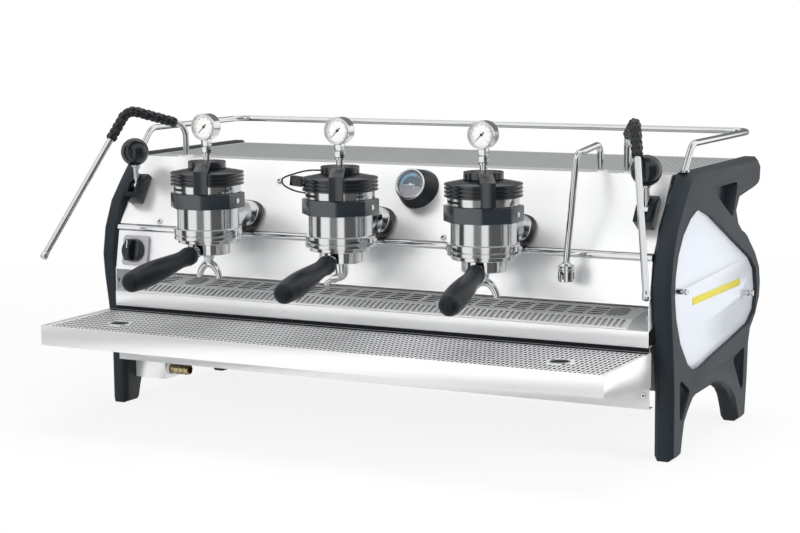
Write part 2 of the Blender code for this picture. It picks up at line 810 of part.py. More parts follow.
def casing(root):
    up = front_slope()
    seam = Vector((SEAM_Y, SEAM_Z))
    down = (Vector((LOWER_EDGE_Y, LOWER_EDGE_Z)) - seam).normalized()
    start = TRIM_R + SEAT_GAP + SHEET / 2
    upper = [seam + up * start, (TOP_EDGE_Y, TOP_EDGE_Z - SHEET),
             (TOP_EDGE_Y + TOP_FOLD, TOP_EDGE_Z - SHEET)]
    panel = piece("front_panel_upper", sheet_mesh(upper, inner_width()), POLISHED,
                  root, turn=PROFILE_TURN)
    for x in group_places():
        cut(panel, rod_mesh(NECK_FLARE_R + RUN_GAP, GROUP_PITCH),
            (x, GROUP_Y + GROUP_PITCH / 2, NECK_Z), FRONT_TURN)
    places = (-SOCKET_X, TAP_X, SOCKET_X)
    hole = rod_mesh((WAND_R + SWIVEL_R) / 2, SWIVEL_HEIGHT, SMALL_STEPS)
    for x in places:
        cut(panel, hole, (x, WAND_Y, TOP_EDGE_Z))
    fitting = swivel_mesh()
    for x in places:
        join(panel, fitting, (x, WAND_Y, 0))
    lower = [seam + down * start, (LOWER_EDGE_Y, LOWER_EDGE_Z),
             (LOWER_EDGE_Y + RETURN_DEPTH, LOWER_EDGE_Z)]
    piece("front_panel_lower", sheet_mesh(lower, inner_width()), STAINLESS,
          root, turn=PROFILE_TURN)
    piece("front_trim", rod_mesh(TRIM_R, inner_width(), SMALL_STEPS), CHROME,
          root, (0, SEAM_Y, SEAM_Z), ALONG_X)

    tray_front = TOP_EDGE_Y + TOP_FOLD + SEAT_GAP
    tray_path = [(tray_front, TOP_EDGE_Z - SHEET), (CUP_TRAY_REAR_Y, TOP_EDGE_Z - SHEET),
                 (CUP_TRAY_REAR_Y, TOP_EDGE_Z - CUP_TRAY_RIM)]
    tray = piece("cup_tray", sheet_mesh(tray_path, inner_width()), STAINLESS, root,
                 turn=PROFILE_TURN)
    cut(tray, cup_openings_mesh(tray_front))

    rear_top = TOP_EDGE_Z - SHEET - SHEET / 2 - SEAT_GAP
    rear_path = [(REAR_Y, rear_top - SHEET / 2), (REAR_Y, BASE_Z + BASE_WALL)]
    rear = piece("rear_panel", sheet_mesh(rear_path, inner_width()), STAINLESS,
                 root, turn=PROFILE_TURN)
    vents = []
    slot = box_mesh(VENT_LENGTH, THROUGH, VENT_HEIGHT)
    middle_z = (rear_top + BASE_Z) / 2
    for column in (-1, 1):
        for row in range(VENT_COUNT):
            z = middle_z + (row - (VENT_COUNT - 1) / 2) * VENT_PITCH
            vents.append((slot, (column * VENT_SET, REAR_Y, z), (0, 0, 0)))
    cut(rear, merged(vents))

    pan_rear = REAR_Y - SHEET - SEAT_GAP
    pan_path = [(BASE_FRONT_Y, BASE_Z + BASE_WALL), (BASE_FRONT_Y, BASE_Z),
                (pan_rear, BASE_Z), (pan_rear, BASE_Z + BASE_WALL + RETURN_DEPTH)]
    piece("base_pan", sheet_mesh(pan_path, inner_width()), PAINTED_STEEL, root, turn=PROFILE_TURN)
    skirt_path = [(SKIRT_Y + SKIRT_RETURN, SKIRT_TOP_Z), (SKIRT_Y, SKIRT_TOP_Z),
                  (SKIRT_Y, SKIRT_LOW_Z), (SKIRT_Y + SKIRT_RETURN, SKIRT_LOW_Z)]
    skirt = piece("front_skirt", sheet_mesh(skirt_path, inner_width()), STAINLESS, root,
                  turn=PROFILE_TURN)
    for side in (-1, 1):
        join(skirt, runner_mesh(), (side * RUNNER_X, 0, 0), PROFILE_TURN)


# Deck

def deck_points(lift=0.0):
    """The deck's slope from its front edge: strip, then the flatter rear."""
    front = Vector((LIP_Y, LIP_TOP_Z + lift))
    strip = front + Vector((DECK_STRIP_DEPTH, DECK_STRIP_RISE))
    rear = front + Vector((DECK_DEPTH, DECK_RISE))
    return front, strip, rear


def deck(root):
    front, strip, rear = deck_points()
    rear_wall = LOWER_EDGE_Z - SHEET / 2 - SEAT_GAP
    path = [(LIP_Y, LIP_LOW_Z), front, strip, rear, (rear.x, rear_wall + RETURN_DEPTH)]
    piece("deck_frame", sheet_mesh(path, inner_width()), STAINLESS, root, turn=PROFILE_TURN)

    lift = SHEET + SEAT_GAP
    front, strip, rear = deck_points(lift)
    inset = SHEET
    plate_front = front + (strip - front).normalized() * inset
    plate_rear = rear - (rear - strip).normalized() * inset * 2
    half = INNER - DECK_MARGIN
    plate = piece("deck_plate", sheet_mesh([plate_front, strip, plate_rear], 2 * half),
                  STAINLESS, root, turn=PROFILE_TURN)
    cells = round(2 * half / CELL_PITCH) - 1
    strip_turn = (math.atan2((strip - front).y, (strip - front).x), 0, 0)
    rear_turn = (math.atan2((rear - strip).y, (rear - strip).x), 0, 0)
    row_step = (rear - strip).normalized() * ROW_PITCH
    cross_slot = box_mesh(SLOT_LENGTH, SLOT_WIDTH, THROUGH)
    deep_slot = box_mesh(SLOT_WIDTH, STRIP_SLOT_LENGTH, THROUGH)
    slots = []
    for cell in range(cells):
        x = (cell - (cells - 1) / 2) * CELL_PITCH
        near_hole = abs(abs(x) - DECK_HOLE_X) < (SLOT_LENGTH + DECK_HOLE_WIDTH) / 2
        for row in range(ROW_COUNT):
            at = strip + row_step * (row + FIRST_ROW_SHARE)
            if not near_hole:
                slots.append((cross_slot, (x, at.x, at.y), rear_turn))
    strip_middle = (plate_front + strip) / 2
    strip_pitch = CELL_PITCH / STRIP_PER_CELL
    for index in range(cells * STRIP_PER_CELL):
        x = (index - (cells * STRIP_PER_CELL - 1) / 2) * strip_pitch
        slots.append((deep_slot, (x, strip_middle.x, strip_middle.y), strip_turn))
    cut(plate, merged(slots))
    hole_middle = (strip + plate_rear) / 2
    rim = DECK_HOLE_WIDTH / 2
    hole = box_mesh(DECK_HOLE_WIDTH, DECK_HOLE_LENGTH - DECK_HOLE_WIDTH, 2 * THROUGH)
    rounds = (DECK_HOLE_LENGTH - DECK_HOLE_WIDTH) / 2
    for side in (-1, 1):
        at = (side * DECK_HOLE_X, hole_middle.x, hole_middle.y)
        cut(plate, hole, at, rear_turn)
        for end in (-1, 1):
            cut(plate, rod_mesh(rim, 2 * THROUGH, SMALL_STEPS),
                (at[0], at[1] + end * rounds, at[2]), rear_turn)


# Drip tray

def drip_tray(root):
    """The pan with deeper rear corners, its front band and the grate in it."""
    low_front = (TRAY_FRONT_Y, TRAY_FRONT_LOW_Z)
    low_rear = (TRAY_REAR_Y, TRAY_REAR_LOW_Z)
    outline = [(TRAY_FRONT_Y, TRAY_TOP_Z), (TRAY_REAR_Y, TRAY_TOP_Z), low_rear, low_front]
    pan = piece("tray_pan", outline_mesh(outline, 2 * TRAY_HALF), STAINLESS, root,
                turn=PROFILE_TURN)
    wall = TRAY_SHEET
    hollow = [(TRAY_FRONT_Y + wall, TRAY_TOP_Z + OVERRUN),
              (TRAY_REAR_Y - wall, TRAY_TOP_Z + OVERRUN),
              (TRAY_REAR_Y - wall, TRAY_REAR_LOW_Z + wall),
              (TRAY_FRONT_Y + wall, TRAY_FRONT_LOW_Z + wall)]
    cut(pan, outline_mesh(hollow, 2 * (TRAY_HALF - wall)), turn=PROFILE_TURN)

    band_half = TRAY_HALF - wall * 2
    clear = wall + RUN_GAP / 2
    grate_y = (TRAY_FRONT_Y + TRAY_REAR_Y) / 2
    grate_depth = TRAY_REAR_Y - TRAY_FRONT_Y - 2 * clear
    top = TRAY_TOP_Z - GRATE_DROP
    sheet = box_mesh(2 * (TRAY_HALF - clear), grate_depth, GRATE_THICK)
    grate = piece("tray_grate", sheet, STAINLESS, root, (0, grate_y, top - GRATE_THICK / 2))
    leg_top = top - GRATE_THICK / 2
    rib_pitch = 2 * band_half / (GRATE_RIB_COUNT + 1)
    rib_front = TRAY_FRONT_Y + clear + wall
    rib_rear = TRAY_REAR_Y - clear - wall
    above = wall + 2 * SEAT_GAP
    rib = [(rib_front, leg_top), (rib_rear, leg_top), (rib_rear, tray_floor(rib_rear) + above),
           (rib_front, tray_floor(rib_front) + above)]
    rib_mesh = outline_mesh(rib, GRATE_RIB_WIDTH)
    for index in range(GRATE_RIB_COUNT):
        x = (index - (GRATE_RIB_COUNT - 1) / 2) * rib_pitch
        join(grate, rib_mesh, (x, 0, 0), PROFILE_TURN)
    for side in (-1, 1):
        cut(grate, rod_mesh(GRATE_HOLE_R, THROUGH, SMALL_STEPS),
            (side * GRATE_HOLE_X, GRATE_HOLE_Y, top - GRATE_THICK / 2))


# Drain

def drain(root):
    centre_z = DRAIN_LOW_Z + DRAIN_HEIGHT / 2
    x = -INNER + SEAT_GAP + DRAIN_WIDTH / 2
    box = piece("drain_box", box_mesh(DRAIN_WIDTH, DRAIN_DEPTH, DRAIN_HEIGHT), STAINLESS,
                root, (x, DRAIN_Y, centre_z))
    inside = (DRAIN_WIDTH - 2 * SHEET, DRAIN_DEPTH - 2 * SHEET, DRAIN_HEIGHT)
    cut(box, box_mesh(*inside), (x, DRAIN_Y, centre_z + SHEET))
    face = x + DRAIN_WIDTH / 2
    cut(box, rod_mesh(BARB_R - WASHER_THICK / 2 + SEAT_GAP, 4 * OVERRUN, SMALL_STEPS),
        (face, DRAIN_Y, BARB_Z), ALONG_X)
    root_r = BARB_R - WASHER_THICK / 2
    rings = [(root_r, -SHEET * 2), (root_r, SEAT_GAP), (WASHER_R, SEAT_GAP),
             (WASHER_R, WASHER_THICK), (BARB_R, WASHER_THICK), (BARB_R, BARB_LENGTH),
             (BARB_BORE_R, BARB_LENGTH), (BARB_BORE_R, -SHEET * 2)]
    rings.reverse()
    piece("drain_barb", turned_mesh(rings, SMALL_STEPS, closed=True), BRASS, root,
          (face, DRAIN_Y, BARB_Z), ALONG_X)


# Brew groups

def group_places():
    return [-GROUP_PITCH, 0, GROUP_PITCH]


def group_body(name, parent):
    """Steel brew body with its bayonet socket, flange, band and neck."""
    bayonet_top = BAYONET_LOW_Z + BAYONET_HEIGHT
    profile = [
        (0, BAND_TOP_Z), (BAND_R, BAND_TOP_Z), (BAND_R, BAND_LOW_Z), (BREW_R, BAND_LOW_Z),
        (BREW_R, FLANGE_TOP_Z), (FLANGE_R, FLANGE_TOP_Z), (FLANGE_R, FLANGE_MID_Z),
        (FLANGE_LOW_R, FLANGE_MID_Z), (FLANGE_LOW_R, FLANGE_LOW_Z), (0, FLANGE_LOW_Z),
    ]
    socket = [
        (0, SOCKET_TOP_Z), (SOCKET_R, SOCKET_TOP_Z), (SOCKET_R, bayonet_top),
        (BAYONET_R, bayonet_top), (BAYONET_R, BAYONET_LOW_Z), (SOCKET_R, BAYONET_LOW_Z),
        (SOCKET_R, FLANGE_LOW_Z - OVERRUN), (0, FLANGE_LOW_Z - OVERRUN),
    ]
    body = piece("group_body_" + name, turned_mesh(profile), STAINLESS, parent)
    neck_start = BREW_R / 2
    neck_end = COFFEE_BOILER_FRONT_Y - SEAT_GAP - GROUP_Y
    join(body, rod_mesh(NECK_R, neck_end - neck_start, end_radius=NECK_FLARE_R),
         (0, (neck_start + neck_end) / 2, NECK_Z), (-QUARTER, 0, 0))
    seat = panel_point(NECK_Z, SEAT_GAP + GASKET_THICK / 2)
    join(body, rod_mesh(GASKET_R, GASKET_THICK), (0, seat.x - GROUP_Y, seat.y), panel_lean())
    lug = box_mesh(FLANGE_LUG, FLANGE_LUG_WIDTH, FLANGE_LUG_HEIGHT)
    for side in (-1, 1):
        join(body, lug, (side * FLANGE_R, 0, (FLANGE_TOP_Z + FLANGE_MID_Z) / 2))
    slot = box_mesh(2 * (BAYONET_R - SEAT_GAP), EAR_WIDTH + 4 * RUN_GAP,
                    BAYONET_LOW_Z - FLANGE_LOW_Z + OVERRUN)
    cut(body, slot, (0, 0, (BAYONET_LOW_Z + FLANGE_LOW_Z - OVERRUN / 2) / 2), (0, 0, ENTRY_ANGLE))
    cut(body, turned_mesh(socket))


def group_collar(name, parent):
    """Octagonal clamp with one flat to the front."""
    corner_r = COLLAR_FLATS / 2 / math.cos(math.pi / 8)
    middle = COLLAR_LOW_Z + COLLAR_HEIGHT / 2
    collar = piece("group_collar_" + name, rod_mesh(corner_r, COLLAR_HEIGHT, 8), CAST_BLACK,
                   parent, (0, 0, middle), (0, 0, math.pi / 8))
    cut(collar, rod_mesh(clearing(BREW_R, SEAT_GAP, STEPS), COLLAR_HEIGHT + OVERRUN),
        (0, 0, middle))
    cut(collar, rod_mesh(NECK_FLARE_R, COLLAR_FLATS), (0, COLLAR_FLATS / 2, NECK_Z), FRONT_TURN)


def group_cap(name, parent):
    """Finned cap with a low crown and the boss that carries the gauge."""
    low = BAND_TOP_Z + SEAT_GAP
    top = low + CAP_HEIGHT
    fin = CAP_HEIGHT / (2 * CAP_FIN_COUNT - 1)
    hub_floor = top + CAP_CROWN_RISE
    boss_top = hub_floor + HUB_HEIGHT + 2 * SEAT_GAP
    profile = [(0, boss_top), (BOSS_R, boss_top), (BOSS_R, hub_floor),
               (CAP_CROWN_R, hub_floor)]
    for index in range(CAP_FIN_COUNT):
        fin_top = top - index * 2 * fin
        if index:
            profile.append((CAP_R - CAP_FIN_DEPTH, fin_top))
        profile += [(CAP_R, fin_top), (CAP_R, fin_top - fin)]
        if index < CAP_FIN_COUNT - 1:
            profile.append((CAP_R - CAP_FIN_DEPTH, fin_top - fin))
    profile.append((0, low))
    piece("group_cap_" + name, turned_mesh(profile), BLACK_PLASTIC, parent)
    return top, hub_floor + SEAT_GAP, boss_top


def paddle(name, parent, cap_top, hub_low, angle):
    """Hub ring with the strap that a hand swings; the axis is the group's."""
    pivot = empty("paddle_pivot_" + name, parent, (0, 0, 0), (0, 0, angle))
    middle = hub_low + HUB_HEIGHT / 2
    lever = piece("paddle_" + name, rod_mesh(HUB_R, HUB_HEIGHT), BLACK_PLASTIC, pivot,
                  (0, 0, middle))
    top = hub_low + HUB_HEIGHT
    shoulder = top - STRAP_BEND_DROP
    inner = STRAP_REACH - STRAP_THICK
    strap = [(0, top), (BOSS_R, top), (STRAP_REACH, shoulder), (STRAP_REACH, STRAP_LOW_Z),
             (inner, STRAP_LOW_Z), (inner, cap_top + RUN_GAP), (CAP_CROWN_R, hub_low),
             (0, hub_low)]
    join(lever, outline_mesh(strap, STRAP_WIDTH), turn=(QUARTER, 0, -QUARTER))
    cut(lever, rod_mesh(clearing(BOSS_R, SEAT_GAP, STEPS), 2 * HUB_HEIGHT), (0, 0, middle))
    notch = box_mesh(STRAP_WIDTH / 3, STRAP_WIDTH / 3, 2 * HUB_HEIGHT)
    for side in (-1, 1):
        spot = HUB_R * HUB_NOTCH_SHARE
        cut(lever, notch, (side * spot, -spot, middle), (0, 0, math.pi / 4))


def dial_needle(name, parent, size, finish, place, turn, angle):
    """A thin pointer with its hub; the axis is its pivot's local Z."""
    pivot = empty(name + "_pivot", parent, place, turn)
    hub = NEEDLE_HUB_R * size
    wide = NEEDLE_WIDTH * size / 2
    length = NEEDLE_LENGTH * size
    tail = NEEDLE_TAIL * size
    shape_points = [(-wide, -tail), (wide, -tail), (wide / 2, length), (-wide / 2, length)]
    needle = piece(name, outline_mesh(shape_points, NEEDLE_THICK), finish, pivot,
                   turn=(0, 0, angle))
    join(needle, rod_mesh(hub, NEEDLE_THICK, SMALL_STEPS))


def gauge_profile(radius, depth, bezel, recess):
    """A drum about Z with an open dial recess at its top."""
    inside = radius - bezel
    floor = depth - recess
    return [(0, floor), (inside, floor), (inside, depth), (radius, depth), (radius, 0), (0, 0)]


def group_gauge(name, parent, boss_top):
    """Drum that faces the front, on a stem with a nut at its foot."""
    drum = turned_mesh(gauge_profile(GAUGE_R, GAUGE_DEPTH, GAUGE_BEZEL, GAUGE_RECESS))
    gauge = piece("gauge_" + name, drum, CHROME, parent, (0, GAUGE_DEPTH / 2, GAUGE_Z), FRONT_TURN)
    stem_low = boss_top + SEAT_GAP
    stem_top = GAUGE_Z - GAUGE_R / 2
    stem = [(0, stem_top), (GAUGE_STEM_R, stem_top), (GAUGE_STEM_R, stem_low + GAUGE_NUT_HEIGHT),
            (GAUGE_NUT_R, stem_low + GAUGE_NUT_HEIGHT), (GAUGE_NUT_R, stem_low), (0, stem_low)]
    join(gauge, turned_mesh(stem, SMALL_STEPS))
    face = -GAUGE_DEPTH / 2 + GAUGE_RECESS - SEAT_GAP - NEEDLE_THICK / 2
    dial_needle("needle_" + name, parent, 1.0, BLACK_PLASTIC, (0, face, GAUGE_Z),
                FRONT_TURN, GAUGE_NEEDLE_ANGLE)


def portafilter(name, parent, angle):
    """Bowl with rim, ears, basket hollow and twin spout, and its handle."""
    pivot = empty("portafilter_pivot_" + name, parent, (0, 0, 0), (0, 0, angle))
    rim_low = FLANGE_LOW_Z - RUN_GAP
    profile = [
        (0, BASKET_LOW_Z), (BASKET_R - BOWL_ROUND, BASKET_LOW_Z), (BASKET_R, BOWL_TOP_Z),
        (RIM_R, BOWL_TOP_Z), (RIM_R, rim_low), (BOWL_R, rim_low - RUN_GAP),
        (BOWL_R, BOWL_LOW_Z + BOWL_ROUND), (BOWL_R - BOWL_ROUND, BOWL_LOW_Z),
        (STEM_COLLAR_R, BOWL_LOW_Z), (STEM_R, BOWL_LOW_Z - BOWL_ROUND), (STEM_R, STEM_LOW_Z),
        (0, STEM_LOW_Z),
    ]
    bowl = piece("portafilter_" + name, turned_mesh(profile), CHROME, pivot)
    ear = box_mesh(EAR_REACH - BASKET_R - SEAT_GAP * 4, EAR_WIDTH, EAR_HEIGHT)
    ear_z = BAYONET_LOW_Z + BAYONET_HEIGHT / 2
    ear_x = (EAR_REACH + BASKET_R + SEAT_GAP * 4) / 2
    for side in (-1, 1):
        join(bowl, ear, (side * ear_x, 0, ear_z))
    arc = []
    shares = []
    for step in range(SPOUT_STEPS + 1):
        swing = step / SPOUT_STEPS
        bend = SPOUT_SWEEP * (2 * swing - 1)
        drop = (SPOUT_TOP_Z - SPOUT_TIP_Z) * (1 - math.cos(bend)) / (1 - math.cos(SPOUT_SWEEP))
        arc.append((SPOUT_SPREAD * math.sin(bend) / math.sin(SPOUT_SWEEP), 0,
                    SPOUT_TOP_Z - drop))
        shares.append(1 - abs(2 * swing - 1) * (1 - SPOUT_TIP_SHARE))
    join(bowl, tube_mesh(arc, SPOUT_R, 1, shares))
    down = math.sin(HANDLE_DROP)
    out = math.cos(HANDLE_DROP)
    rod_start = BASKET_R + OVERRUN / 2
    rod_end = HANDLE_START + NECK_ROD_TAIL
    rod_middle = (rod_start + rod_end) / 2
    lean = (QUARTER + HANDLE_DROP, 0, 0)
    join(bowl, rod_mesh(NECK_ROD_R, rod_end - rod_start, SMALL_STEPS),
         (0, -rod_middle * out, HANDLE_Z - rod_middle * down), lean)

    length = HANDLE_END - HANDLE_START
    shell = [(0, length)]
    for step in range(HANDLE_ROUND_STEPS):
        angle_here = QUARTER * (step + 1) / HANDLE_ROUND_STEPS
        shell.append((HANDLE_GRIP_R * HANDLE_END_SHARE * math.sin(angle_here),
                      length - HANDLE_GRIP_R * HANDLE_END_SHARE * (1 - math.cos(angle_here))))
    for share, radius in HANDLE_SHAPE_SHARES:
        shell.append((HANDLE_GRIP_R * radius, length * share))
    socket = NECK_ROD_R + SEAT_GAP
    socket_depth = NECK_ROD_TAIL + SEAT_GAP
    shell += [(socket, 0), (socket, socket_depth), (0, socket_depth)]
    piece("portafilter_handle_" + name, turned_mesh(shell, HANDLE_STEPS), BLACK_PLASTIC, pivot,
          (0, -HANDLE_START * out, HANDLE_Z - HANDLE_START * down), lean)


def brew_groups(root):
    for name, x, swing, turn in zip(GROUP_NAMES, group_places(), PORTAFILTER_ANGLES, PADDLE_ANGLES):
        axis = empty("group_axis_" + name, root, (x, GROUP_Y, 0))
        group_body(name, axis)
        group_collar(name, axis)
        cap_top, hub_low, boss_top = group_cap(name, axis)
        paddle(name, axis, cap_top, hub_low, turn)
        group_gauge(name, axis, boss_top)
        portafilter(name, axis, swing)


# Boiler gauge

def boiler_gauge(root):
    """A tapered drum on the polished panel, its foot cut to the panel's slope."""
    seat = panel_point(DRUM_Z)
    aim = (QUARTER - DRUM_RISE, 0, 0)
    inside = DRUM_FACE_R - DRUM_BEZEL
    floor = DRUM_LENGTH - GAUGE_RECESS
    profile = [(0, floor), (inside, floor), (inside, DRUM_LENGTH), (DRUM_FACE_R, DRUM_LENGTH),
               (DRUM_FOOT_R, -DRUM_FOOT), (0, -DRUM_FOOT)]
    drum = piece("boiler_gauge", turned_mesh(profile), BLACK_PLASTIC, root,
                 (DRUM_X, seat.x, seat.y), aim)
    block = 4 * DRUM_FOOT_R
    behind = panel_point(DRUM_Z, SEAT_GAP - block / 2)
    cut(drum, box_mesh(block, block, block), (DRUM_X, behind.x, behind.y), panel_lean())
    out = floor + SEAT_GAP + NEEDLE_THICK / 2
    face_y = seat.x - out * math.cos(DRUM_RISE)
    face_z = seat.y + out * math.sin(DRUM_RISE)
    dial_needle("needle_boiler", root, DRUM_NEEDLE_SHARE, PAINTED_STEEL,
                (DRUM_X, face_y, face_z), aim, DRUM_NEEDLE_ANGLE)


# Steam wands and tap

def steam_wand(root, name, side):
    """Bent tube with its nozzle, and the knobbed grip round the arm."""
    pivot = empty("wand_pivot_" + name, root, (side * SOCKET_X, WAND_Y, 0),
                  (0, 0, side * WAND_TURN))
    foot_z = WAND_START_Z - SWIVEL_HEIGHT
    knee_z = WAND_START_Z + WAND_RISE
    reach = WAND_ARM * math.cos(WAND_ARM_RISE)
    top_z = knee_z + WAND_ARM * math.sin(WAND_ARM_RISE)
    corners = [(0, 0, foot_z), (0, 0, knee_z), (0, -reach, top_z), (0, -WAND_TIP_REACH, WAND_TIP_Z)]
    path = bent_path(corners, WAND_BEND_R)
    wand = piece("steam_wand_" + name, tube_mesh(path, WAND_R, 1), CHROME, pivot)
    along = (Vector(path[-1]) - Vector(path[-2])).normalized()
    nozzle_middle = Vector(path[-1]) - along * NOZZLE_LENGTH / 2
    lean = along.to_track_quat("Z", "Y").to_euler()
    join(wand, rod_mesh(NOZZLE_R, NOZZLE_LENGTH, SMALL_STEPS, end_radius=WAND_R * NOZZLE_TIP_SHARE),
         nozzle_middle + along * NOZZLE_LENGTH / 2, lean)

    waists = [GRIP_WAIST_SHARE, 1.0] * GRIP_KNOB_COUNT + [GRIP_WAIST_SHARE]
    knobs = path_samples(path, GRIP_START, GRIP_LENGTH, 2 * GRIP_KNOB_COUNT)
    grip = piece("wand_grip_" + name, tube_mesh(knobs, GRIP_R, 1, waists), BLACK_PLASTIC, pivot)
    cut(grip, tube_mesh(path, clearing(WAND_R, SEAT_GAP), 1))


def hot_water_tap(root):
    pivot = empty("tap_pivot", root, (TAP_X, WAND_Y, 0))
    nozzle_top = TAP_NOZZLE_LOW_Z + TAP_NOZZLE_LENGTH
    high = WAND_START_Z + TAP_RISE
    corners = [(0, 0, WAND_START_Z - SWIVEL_HEIGHT), (0, 0, high), (0, -TAP_REACH, high - TAP_FALL),
               (0, -TAP_REACH - TAP_LEAN, nozzle_top)]
    path = bent_path(corners, TAP_BEND_R)
    tap = piece("hot_water_tap", tube_mesh(path, TAP_R, 1), CHROME, pivot)
    cone = TAP_NOZZLE_LENGTH * TAP_CONE_SHARE
    profile = [(0, nozzle_top), (TAP_R, nozzle_top), (TAP_NOZZLE_R, nozzle_top - cone / 2),
               (TAP_NOZZLE_R, TAP_NOZZLE_LOW_Z), (TAP_NOZZLE_R - SHEET, TAP_NOZZLE_LOW_Z),
               (TAP_NOZZLE_R - SHEET, TAP_NOZZLE_LOW_Z + cone), (0, TAP_NOZZLE_LOW_Z + cone)]
    join(tap, turned_mesh(profile, SMALL_STEPS), (0, -TAP_REACH - TAP_LEAN, TAP_R))


# Steam levers

def steam_lever(root, name, side):
    """A slotted housing on the panel with a ball-ended lever on its pin."""
    low_z = LEVER_PIVOT_Z - LEVER_HOUSING_HEIGHT / 2
    high_z = LEVER_PIVOT_Z + LEVER_HOUSING_HEIGHT / 2
    outline = [panel_point(low_z, SEAT_GAP), panel_point(low_z, LEVER_HOUSING_OUT),
               panel_point(LEVER_PIVOT_Z, LEVER_HOUSING_OUT),
               panel_point(high_z, LEVER_HOUSING_TOP_OUT), panel_point(high_z, SEAT_GAP)]
    x = side * LEVER_X
    block = outline_mesh([tuple(point) for point in outline], LEVER_HOUSING_WIDTH)
    housing = piece("lever_housing_" + name, block, BLACK_PLASTIC, root, (x, 0, 0), PROFILE_TURN)
    at = panel_point(LEVER_PIVOT_Z, LEVER_PIVOT_OUT)
    reach = LEVER_SLOT_DEPTH / 2 - LEVER_EYE_R - RUN_GAP
    cut(housing, box_mesh(LEVER_SLOT, LEVER_SLOT_DEPTH, LEVER_SLOT_DEPTH),
        (x, at.x - reach, at.y + reach))
    pin = rod_mesh(LEVER_PIN_R, LEVER_HOUSING_WIDTH * LEVER_PIN_SHARE, SMALL_STEPS)
    join(housing, pin, (x, at.x, at.y), ALONG_X)
    pivot = empty("lever_pivot_" + name, root, (x, at.x, at.y), (LEVER_TILT, 0, 0))
    eye = rod_mesh(LEVER_EYE_R, LEVER_SLOT - 2 * RUN_GAP, SMALL_STEPS)
    lever = piece("steam_lever_" + name, eye, BLACK_PLASTIC, pivot, turn=ALONG_X)
    join(lever, rod_mesh(LEVER_STEM_R, LEVER_LENGTH, SMALL_STEPS), (0, 0, LEVER_LENGTH / 2))
    join(lever, ball_mesh(LEVER_BALL_R), (0, 0, LEVER_LENGTH + LEVER_BALL_R * LEVER_BALL_SHARE))
    cut(lever, rod_mesh(LEVER_PIN_R + SEAT_GAP, LEVER_HOUSING_WIDTH, SMALL_STEPS), turn=ALONG_X)


# Rotary switch

def rotary_switch(root):
    seam = Vector((SEAM_Y, SEAM_Z))
    down = (Vector((LOWER_EDGE_Y, LOWER_EDGE_Z)) - seam).normalized()
    on_panel = seam + down * ((SEAM_Z - SWITCH_Z) / -down.y)
    normal = Vector((down.y, -down.x))
    lean = (QUARTER - math.atan2(down.x, down.y) - math.pi, 0, 0)
    face = on_panel + normal * (SHEET / 2 + SEAT_GAP)
    half = SWITCH_PLATE / 2
    corners = [(-half, -half), (half, -half), (half, half), (-half, half)]
    middle = face + normal * SWITCH_PLATE_THICK / 2
    square = outline_mesh(rounded(corners, SWITCH_PLATE_ROUND), SWITCH_PLATE_THICK)
    plate = piece("switch_plate", square, GREY_PLASTIC, root, (SWITCH_X, middle.x, middle.y), lean)
    cut(plate, rod_mesh(KNOB_SHAFT_BORE_R, SWITCH_PLATE_THICK * 2, SMALL_STEPS),
        (SWITCH_X, middle.x, middle.y), lean)
    front = face + normal * (SWITCH_PLATE_THICK + RUN_GAP)
    pivot = empty("switch_pivot", root, (SWITCH_X, front.x, front.y), lean)
    knob = piece("switch_knob", rod_mesh(KNOB_R, KNOB_DEPTH, end_radius=KNOB_R * KNOB_TAPER_SHARE),
                 BLACK_PLASTIC, pivot, (0, 0, KNOB_DEPTH / 2))
    join(knob, box_mesh(KNOB_BAR_WIDTH, 2 * KNOB_R * KNOB_BAR_SHARE, KNOB_BAR_DEPTH),
         (0, 0, KNOB_DEPTH + KNOB_BAR_DEPTH / 2 - OVERRUN / 2))
    shaft = SWITCH_PLATE_THICK + RUN_GAP - SEAT_GAP
    join(knob, rod_mesh(KNOB_SHAFT_R, shaft + OVERRUN, SMALL_STEPS), (0, 0, (OVERRUN - shaft) / 2))


# Cup rail

def cup_rail(root):
    foot = SIDE_HEIGHT + SEAT_GAP
    lean = RAIL_LEAN_Y
    corners = [(-RAIL_X, RAIL_FOOT_Y, foot), (-RAIL_X, lean, RAIL_Z), (-RAIL_X, RAIL_REAR_Y, RAIL_Z),
               (RAIL_X, RAIL_REAR_Y, RAIL_Z), (RAIL_X, lean, RAIL_Z), (RAIL_X, RAIL_FOOT_Y, foot)]
    path = bent_path(corners, RAIL_BEND)
    rail = piece("cup_rail", tube_mesh(path, RAIL_R, 2), CHROME, root)
    for side in (-1, 1):
        cut(rail, box_mesh(RAIL_BEND, RAIL_BEND, RAIL_FOOT_CUT),
            (side * RAIL_X, RAIL_FOOT_Y, foot - RAIL_FOOT_CUT / 2))
        join(rail, rod_mesh(RAIL_FOOT_R, RAIL_FOOT_HEIGHT, SMALL_STEPS),
             (side * RAIL_X, RAIL_FOOT_Y, foot + RAIL_FOOT_HEIGHT / 2))


# Inside

def boiler_profile(radius, length, dish):
    half = length / 2
    shoulder = radius * BOILER_SHOULDER_SHARE
    return [(0, half), (shoulder, half - dish / 3), (radius, half - dish), (radius, dish - half),
            (shoulder, dish / 3 - half), (0, -half)]


